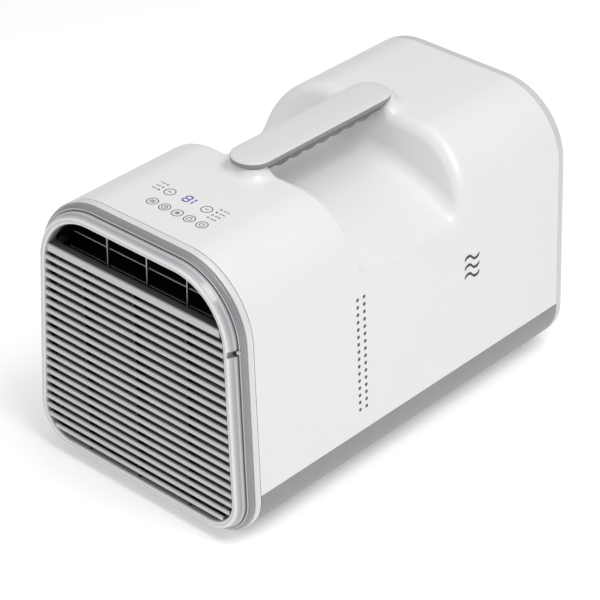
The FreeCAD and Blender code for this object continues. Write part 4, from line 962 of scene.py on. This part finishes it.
def make_handle():
    """Handle cap with its darker edge and crowned top, and the soft grip with its finger waves."""
    low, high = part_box("handle_cap")
    sizes = settings("handle")
    middle = ((low.y + high.y) / 2 - FRONT_SEAM) / MM
    half_y = (high.y - low.y) / 2 / MM
    half_x = sizes.width / MM / 2
    bottom = low.z / MM
    thick = sizes.thickness / MM
    rows = [(half_x - 4.0, 0.0), (1.6, 0.0), (0.5, 0.35), (0.0, 1.2), (0.0, thick - 2.4),
            (0.12, thick - 2.0), (0.5, thick - 1.55), (1.2, thick - 1.2), (2.2, thick - 0.95),
            (4.5, thick - 0.65), (8.0, thick - 0.36), (12.0, thick - 0.15), (16.0, thick - 0.05),
            (half_x - 2.0, thick)]
    loops = []
    for inset, rise in rows:
        loops.append([(x, y, bottom + rise) for x, y in slot_loop(0, middle, half_x - inset, half_y - inset)])
    edge, crown = Shape(), Shape()
    edge.tube(loops[:5])
    crown.tube(loops[4:])
    make_piece("handle_edge", edge, "handle_edge", ["handle_cap"], crease=55)
    make_piece("handle_crown", crown, "handle_grey", crease=55)
    grip_low, grip_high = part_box("handle_grip")
    y0, y1 = (grip_low.y - FRONT_SEAM) / MM, (grip_high.y - FRONT_SEAM) / MM
    pitch = sizes.finger_pitch / MM
    count = int((y1 - y0 - 24) / pitch)
    start = (y0 + y1 - count * pitch) / 2
    half = sizes.grip_width / MM / 2
    top = grip_high.z / MM
    base = grip_low.z / MM
    stations = list(np.arange(y0 + 1.5, y1 - 1.5, 0.75)) + [y1 - 1.5]
    rings = [[(x * 0.93, y0, top - (top - z) * 0.93) for x, z in grip_section(half, base + 3, top)]]
    for y in stations:
        inside = 0 <= y - start <= count * pitch
        wave = math.sin(math.pi * ((y - start) % pitch) / pitch) if inside else 0.0
        rings.append([(x, y, z) for x, z in grip_section(half, base + 3 - 3 * wave ** 0.8, top)])
    rings.append([(x * 0.93, y1, top - (top - z) * 0.93) for x, z in grip_section(half, base + 3, top)])
    shape = Shape()
    shape.tube(rings)
    make_piece("handle_grip_pad", shape, "grip_grey", ["handle_grip"], crease=50)


def grip_section(half, low, top):
    """Cross-section (x, z) of the grip, its lower corners well rounded."""
    return rounded_path([(-half, top), (-half, low), (half, low), (half, top)], [0.0, 5.5, 5.5, 0.0], 7)


# ---- printed marks and lit digits -------------------------------------------------------
def stroke(shape, path, width, z, closed=False, thick=0.10):
    """A flat printed line of a width along a path of (x, y) points."""
    count = len(path)
    rows = []
    for i in range(count):
        here = Vector(path[i])
        before = Vector(path[i - 1]) if (i > 0 or closed) else here
        after = Vector(path[(i + 1) % count]) if (i < count - 1 or closed) else here
        way = (after - before).normalized()
        side = Vector((-way.y, way.x)) * (width / 2)
        left, right = here + side, here - side
        rows.append([(left.x, left.y, z), (right.x, right.y, z), (right.x, right.y, z + thick),
                     (left.x, left.y, z + thick)])
    shape.tube(rows, closed_rows=closed)


def arc(cx, cy, radius, start, stop, steps=28):
    """Points (x, y) along an arc, angles in degrees."""
    return [(cx + radius * math.cos(math.radians(a)), cy + radius * math.sin(math.radians(a)))
            for a in np.linspace(start, stop, steps)]


LOWER_KEYS, LOWER_Y = (-28.1, -11.2, 5.9, 22.6, 39.6), 36.2
UPPER_KEYS, UPPER_Y = (-28.1, 22.6), 60.7
KEY_RADIUS = 6.0
PEN = 0.75                # width of the signs' lines
DIGIT_PEN = 1.7
LAMPS = (   # x of the lamps, the two label bars beside each, and each lamp's y and whether it is lit
    (-39.8, ((-49.0, -47.2), (-46.6, -43.0)), ((56.6, True), (62.7, False), (69.5, False))),
    (34.0, ((37.5, 40.6), (41.2, 45.0)), ((50.3, False), (56.8, False), (63.1, True), (69.6, False))))


def make_marks():
    """Touch rings and their plain signs, status lamps with label bars, and the two lit digits."""
    z = BODY_TOP / MM + 0.02
    rings, signs = Shape(), Shape()
    for x, y in [(x, LOWER_Y) for x in LOWER_KEYS] + [(x, UPPER_Y) for x in UPPER_KEYS]:
        stroke(rings, arc(x, y, KEY_RADIUS, 0, 360 * 39 / 40, 40), 0.9, z, closed=True)
    x = LOWER_KEYS[0]
    for dy in (-1.7, 0.0, 1.7):
        stroke(signs, [(x - 3.0, LOWER_Y + dy), (x + 3.0, LOWER_Y + dy)], PEN, z)
    x = LOWER_KEYS[1]
    stroke(signs, arc(x, LOWER_Y, 3.0, 0, 351, 30), PEN, z, closed=True)
    stroke(signs, [(x, LOWER_Y + 1.9), (x, LOWER_Y), (x + 1.4, LOWER_Y - 0.8)], PEN, z)
    x = LOWER_KEYS[2]
    for turn in (0, 60, 120):
        dx, dy = 3.2 * math.cos(math.radians(turn)), 3.2 * math.sin(math.radians(turn))
        stroke(signs, [(x - dx, LOWER_Y - dy), (x + dx, LOWER_Y + dy)], PEN, z)
    x = LOWER_KEYS[3]
    for turn in (90, 210, 330):
        cx = x + 1.7 * math.cos(math.radians(turn))
        cy = LOWER_Y + 1.7 * math.sin(math.radians(turn))
        stroke(signs, arc(cx, cy, 1.6, turn - 120, turn + 90, 14), PEN, z)
    x = LOWER_KEYS[4]
    stroke(signs, arc(x, LOWER_Y, 2.8, 125, 415, 26), PEN, z)
    stroke(signs, [(x, LOWER_Y + 0.6), (x, LOWER_Y + 3.4)], PEN, z)
    for x, way in zip(UPPER_KEYS, (1, -1)):
        stroke(signs, [(x - 2.2, UPPER_Y - 0.9 * way), (x, UPPER_Y + 1.0 * way),
                       (x + 2.2, UPPER_Y - 0.9 * way)], 0.9, z)
    make_piece("touch_rings", rings, "ink_dark", ["key_rings"])
    make_piece("touch_signs", signs, "ink_dark", ["key_signs"])
    lamps = Shape()
    for lamp_x, bars, states in LAMPS:
        for y, filled in states:
            lamp(lamps, lamp_x, y, filled, z)
            for x0, x1 in bars:
                stroke(lamps, [(x0, y), (x1, y)], 1.0, z)
    make_piece("lamp_marks", lamps, "ink_dark", ["status_lamps"])
    digits = Shape()
    x0, x1, y0, y1 = -9.2, -2.3, 57.4, 68.4
    middle = (y0 + y1) / 2
    gap = 0.6
    for y in (y0, middle, y1):
        stroke(digits, [(x0 + gap, y), (x1 - gap, y)], DIGIT_PEN, z)
    for x in (x0, x1):
        for a, b in ((y0, middle), (middle, y1)):
            stroke(digits, [(x, a + gap), (x, b - gap)], DIGIT_PEN, z)
    for a, b in ((y0, middle), (middle, y1)):
        stroke(digits, [(2.9, a + gap), (2.9, b - gap)], DIGIT_PEN, z)
    make_piece("lit_numbers", digits, "digit_blue", ["display_digits"])


def lamp(shape, x, y, filled, z):
    """One status lamp: a dot when it is lit, a small ring when it isn't."""
    if filled:
        rows = [[(px, py, h) for px, py in arc(x, y, 1.25, 0, 345, 24)] for h in (z, z + 0.1)]
        shape.tube(rows)
    else:
        stroke(shape, arc(x, y, 1.1, 0, 345, 24), 0.6, z, closed=True)


# ---- rear -------------------------------------------------------------------------------
def make_rear_ring():
    """Pale grey ring round the rear, its outer edge rounded."""
    section = Section(settings("body"))
    start = (REAR_SEAM - FRONT_SEAM) / MM + SEAM_GAP
    end = (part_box("rear_ring")[1].y - FRONT_SEAM) / MM
    profile = [(12.0, start), (0.35, start), (0.0, start + 0.35), (0.0, end - 2.6), (0.2, end - 1.5),
               (0.75, end - 0.7), (1.6, end - 0.15), (2.6, end), (11.0, end), (11.7, end - 0.3),
               (12.0, end - 1.0)]
    make_piece("rear_ring_trim", swept(section.rim(), profile), "rear_trim", ["rear_ring"])


# ---- CAD parts that keep their shape --------------------------------------------------------
SPECIAL = {"vane_left": "vane_black", "vane_middle": "vane_black", "vane_right": "vane_black",
           "filter_frame": "filter_frame", "board_parts": "inlet_black"}


def finish_cad_parts():
    """Gives every CAD part that is still shown the finish of its material slot."""
    slots = {part["node"]: part["material_slot"] for part in frame["record"]["subparts"]}
    for name, part in frame["nodes"].items():
        if part.hide_render:
            continue
        finish = FINISH[SPECIAL.get(name, slots[name])]
        if not part.material_slots:
            part.data.materials.append(finish)
        for place in part.material_slots:
            place.material = finish


# ---- stage --------------------------------------------------------------------------------
CAMERA_SPOT = (1.53155, -1.72155, 1.58208)
CAMERA_TURN = (41.809, 32.433, 0.37694)   # round the object, above the horizon, roll, in degrees
CAMERA_LENS = 152.824
FLOOR_SPAN = (-9, 9)
LIGHTS = (   # name, place, point it is aimed at, size in metres, power in watts
    ("overhead", (0.1, 0.2, 2.4), (0, 0, 0.1), 1.6, 10.0),
    ("shoulder", (1.25, -0.25, 2.35), (0, 0, 0.2), 1.2, 32.0),
    ("front", (-0.6, -2.6, 1.3), (0, 0, 0.15), 1.4, 8.0))


def make_stage():
    """Pale floor, soft studio light and the camera."""
    turn, rise, roll = (math.radians(a) for a in CAMERA_TURN)
    back = Vector((math.sin(turn) * math.cos(rise), -math.cos(turn) * math.cos(rise), math.sin(rise)))
    right = (-back).cross(Vector((0, 0, 1))).normalized()
    up = right.cross(-back)
    right_rolled = right * math.cos(roll) + up * math.sin(roll)
    up_rolled = up * math.cos(roll) - right * math.sin(roll)
    data = bpy.data.cameras.new("camera")
    data.lens = CAMERA_LENS
    data.sensor_width = 36.0
    data.clip_end = 50.0
    camera = add_object("camera", data)
    axes = Matrix((right_rolled, up_rolled, back)).transposed().to_4x4()
    camera.matrix_world = Matrix.Translation(Vector(CAMERA_SPOT)) @ axes
    bpy.context.scene.camera = camera
    mesh = bpy.data.meshes.new("studio_floor")
    mesh.from_pydata([(x, y, 0.0) for y in FLOOR_SPAN for x in FLOOR_SPAN], [], [(0, 1, 3, 2)])
    mesh.materials.append(stage_paper("white studio paper", "#F9F9F9"))
    floor = add_object("studio_floor", mesh)
    world = bpy.data.worlds.new("studio")
    bpy.context.scene.world = world
    world.use_nodes = True
    background = world.node_tree.nodes["Background"]
    background.inputs["Color"].default_value = (1.0, 1.0, 1.0, 1.0)
    background.inputs["Strength"].default_value = 0.40
    for name, spot, aim, size, power in LIGHTS:
        lamp_data = bpy.data.lights.new(name, "AREA")
        lamp_data.size = size
        lamp_data.energy = power
        light = add_object(name, lamp_data)
        light.location = spot
        light.rotation_euler = (Vector(aim) - Vector(spot)).to_track_quat("-Z", "Y").to_euler()
    bpy.context.scene.view_settings.view_transform = "Standard"


# ---- operators ------------------------------------------------------------------------------
class COOLER_OT_finishes(bpy.types.Operator):
    """Mix the finishes from the colours in the sidebar"""
    bl_idname = "cooler.finishes"
    bl_label = "Finishes"

    def execute(self, context):
        mix_finishes()
        return {"FINISHED"}


class COOLER_OT_shell(bpy.types.Operator):
    """Build the upper shell with its hand scoop and handle posts"""
    bl_idname = "cooler.shell"
    bl_label = "Upper shell"

    def execute(self, context):
        make_shell()
        make_vent_holes()
        return {"FINISHED"}


class COOLER_OT_front_rings(bpy.types.Operator):
    """Build the ring at the front seam, the grey band and the outlet's throat"""
    bl_idname = "cooler.front_rings"
    bl_label = "Front rings"

    def execute(self, context):
        make_front_rings()
        return {"FINISHED"}


class COOLER_OT_front_panel(bpy.types.Operator):
    """Build the pull-off front panel with its tray, slats and ribs"""
    bl_idname = "cooler.front_panel"
    bl_label = "Front panel"

    def execute(self, context):
        make_front_panel()
        return {"FINISHED"}


class COOLER_OT_handle(bpy.types.Operator):
    """Build the handle cap and its soft grip"""
    bl_idname = "cooler.handle"
    bl_label = "Handle"

    def execute(self, context):
        make_handle()
        return {"FINISHED"}


class COOLER_OT_marks(bpy.types.Operator):
    """Print the touch rings, signs and lamps and light the digits"""
    bl_idname = "cooler.marks"
    bl_label = "Keys and digits"

    def execute(self, context):
        make_marks()
        return {"FINISHED"}


class COOLER_OT_rear_ring(bpy.types.Operator):
    """Build the pale ring round the rear"""
    bl_idname = "cooler.rear_ring"
    bl_label = "Rear ring"

    def execute(self, context):
        make_rear_ring()
        return {"FINISHED"}


class COOLER_OT_cad_parts(bpy.types.Operator):
    """Give the CAD parts that stay visible their finishes"""
    bl_idname = "cooler.cad_parts"
    bl_label = "Carried-over parts"

    def execute(self, context):
        finish_cad_parts()
        return {"FINISHED"}


class COOLER_OT_stage(bpy.types.Operator):
    """Lay the floor and set the lights and the camera"""
    bl_idname = "cooler.stage"
    bl_label = "Stage"

    def execute(self, context):
        make_stage()
        return {"FINISHED"}


STEPS = (COOLER_OT_finishes, COOLER_OT_stage, COOLER_OT_shell, COOLER_OT_front_rings, COOLER_OT_front_panel,
         COOLER_OT_handle, COOLER_OT_marks, COOLER_OT_rear_ring, COOLER_OT_cad_parts)
GROUPS = {"cooler_body": BodySizes, "cooler_scoop": ScoopSizes, "cooler_front": FrontSizes,
          "cooler_handle": HandleSizes, "cooler_finish": Finishes}


class COOLER_PT_panel(bpy.types.Panel):
    """Sizes, colours and steps of the portable air conditioner"""
    bl_idname = "COOLER_PT_panel"
    bl_label = "Portable air conditioner"
    bl_space_type = "VIEW_3D"
    bl_region_type = "UI"
    bl_category = "Cooler"

    def draw(self, context):
        for key, group in GROUPS.items():
            box = self.layout.box()
            for name in group.__annotations__:
                box.prop(getattr(context.scene, key), name)
        for step in STEPS:
            self.layout.operator(step.bl_idname)


def register():
    for group in GROUPS.values():
        bpy.utils.register_class(group)
    for step in STEPS:
        bpy.utils.register_class(step)
    bpy.utils.register_class(COOLER_PT_panel)
    for key, group in GROUPS.items():
        setattr(bpy.types.Scene, key, PointerProperty(type=group))


def unregister():
    for key in GROUPS:
        delattr(bpy.types.Scene, key)
    bpy.utils.unregister_class(COOLER_PT_panel)
    for step in reversed(STEPS):
        bpy.utils.unregister_class(step)
    for group in reversed(GROUPS.values()):
        bpy.utils.unregister_class(group)


def main():
    register()
    for step in STEPS:
        family, name = step.bl_idname.split(".")
        getattr(getattr(bpy.ops, family), name)()


if __name__ == "__main__":
    main()
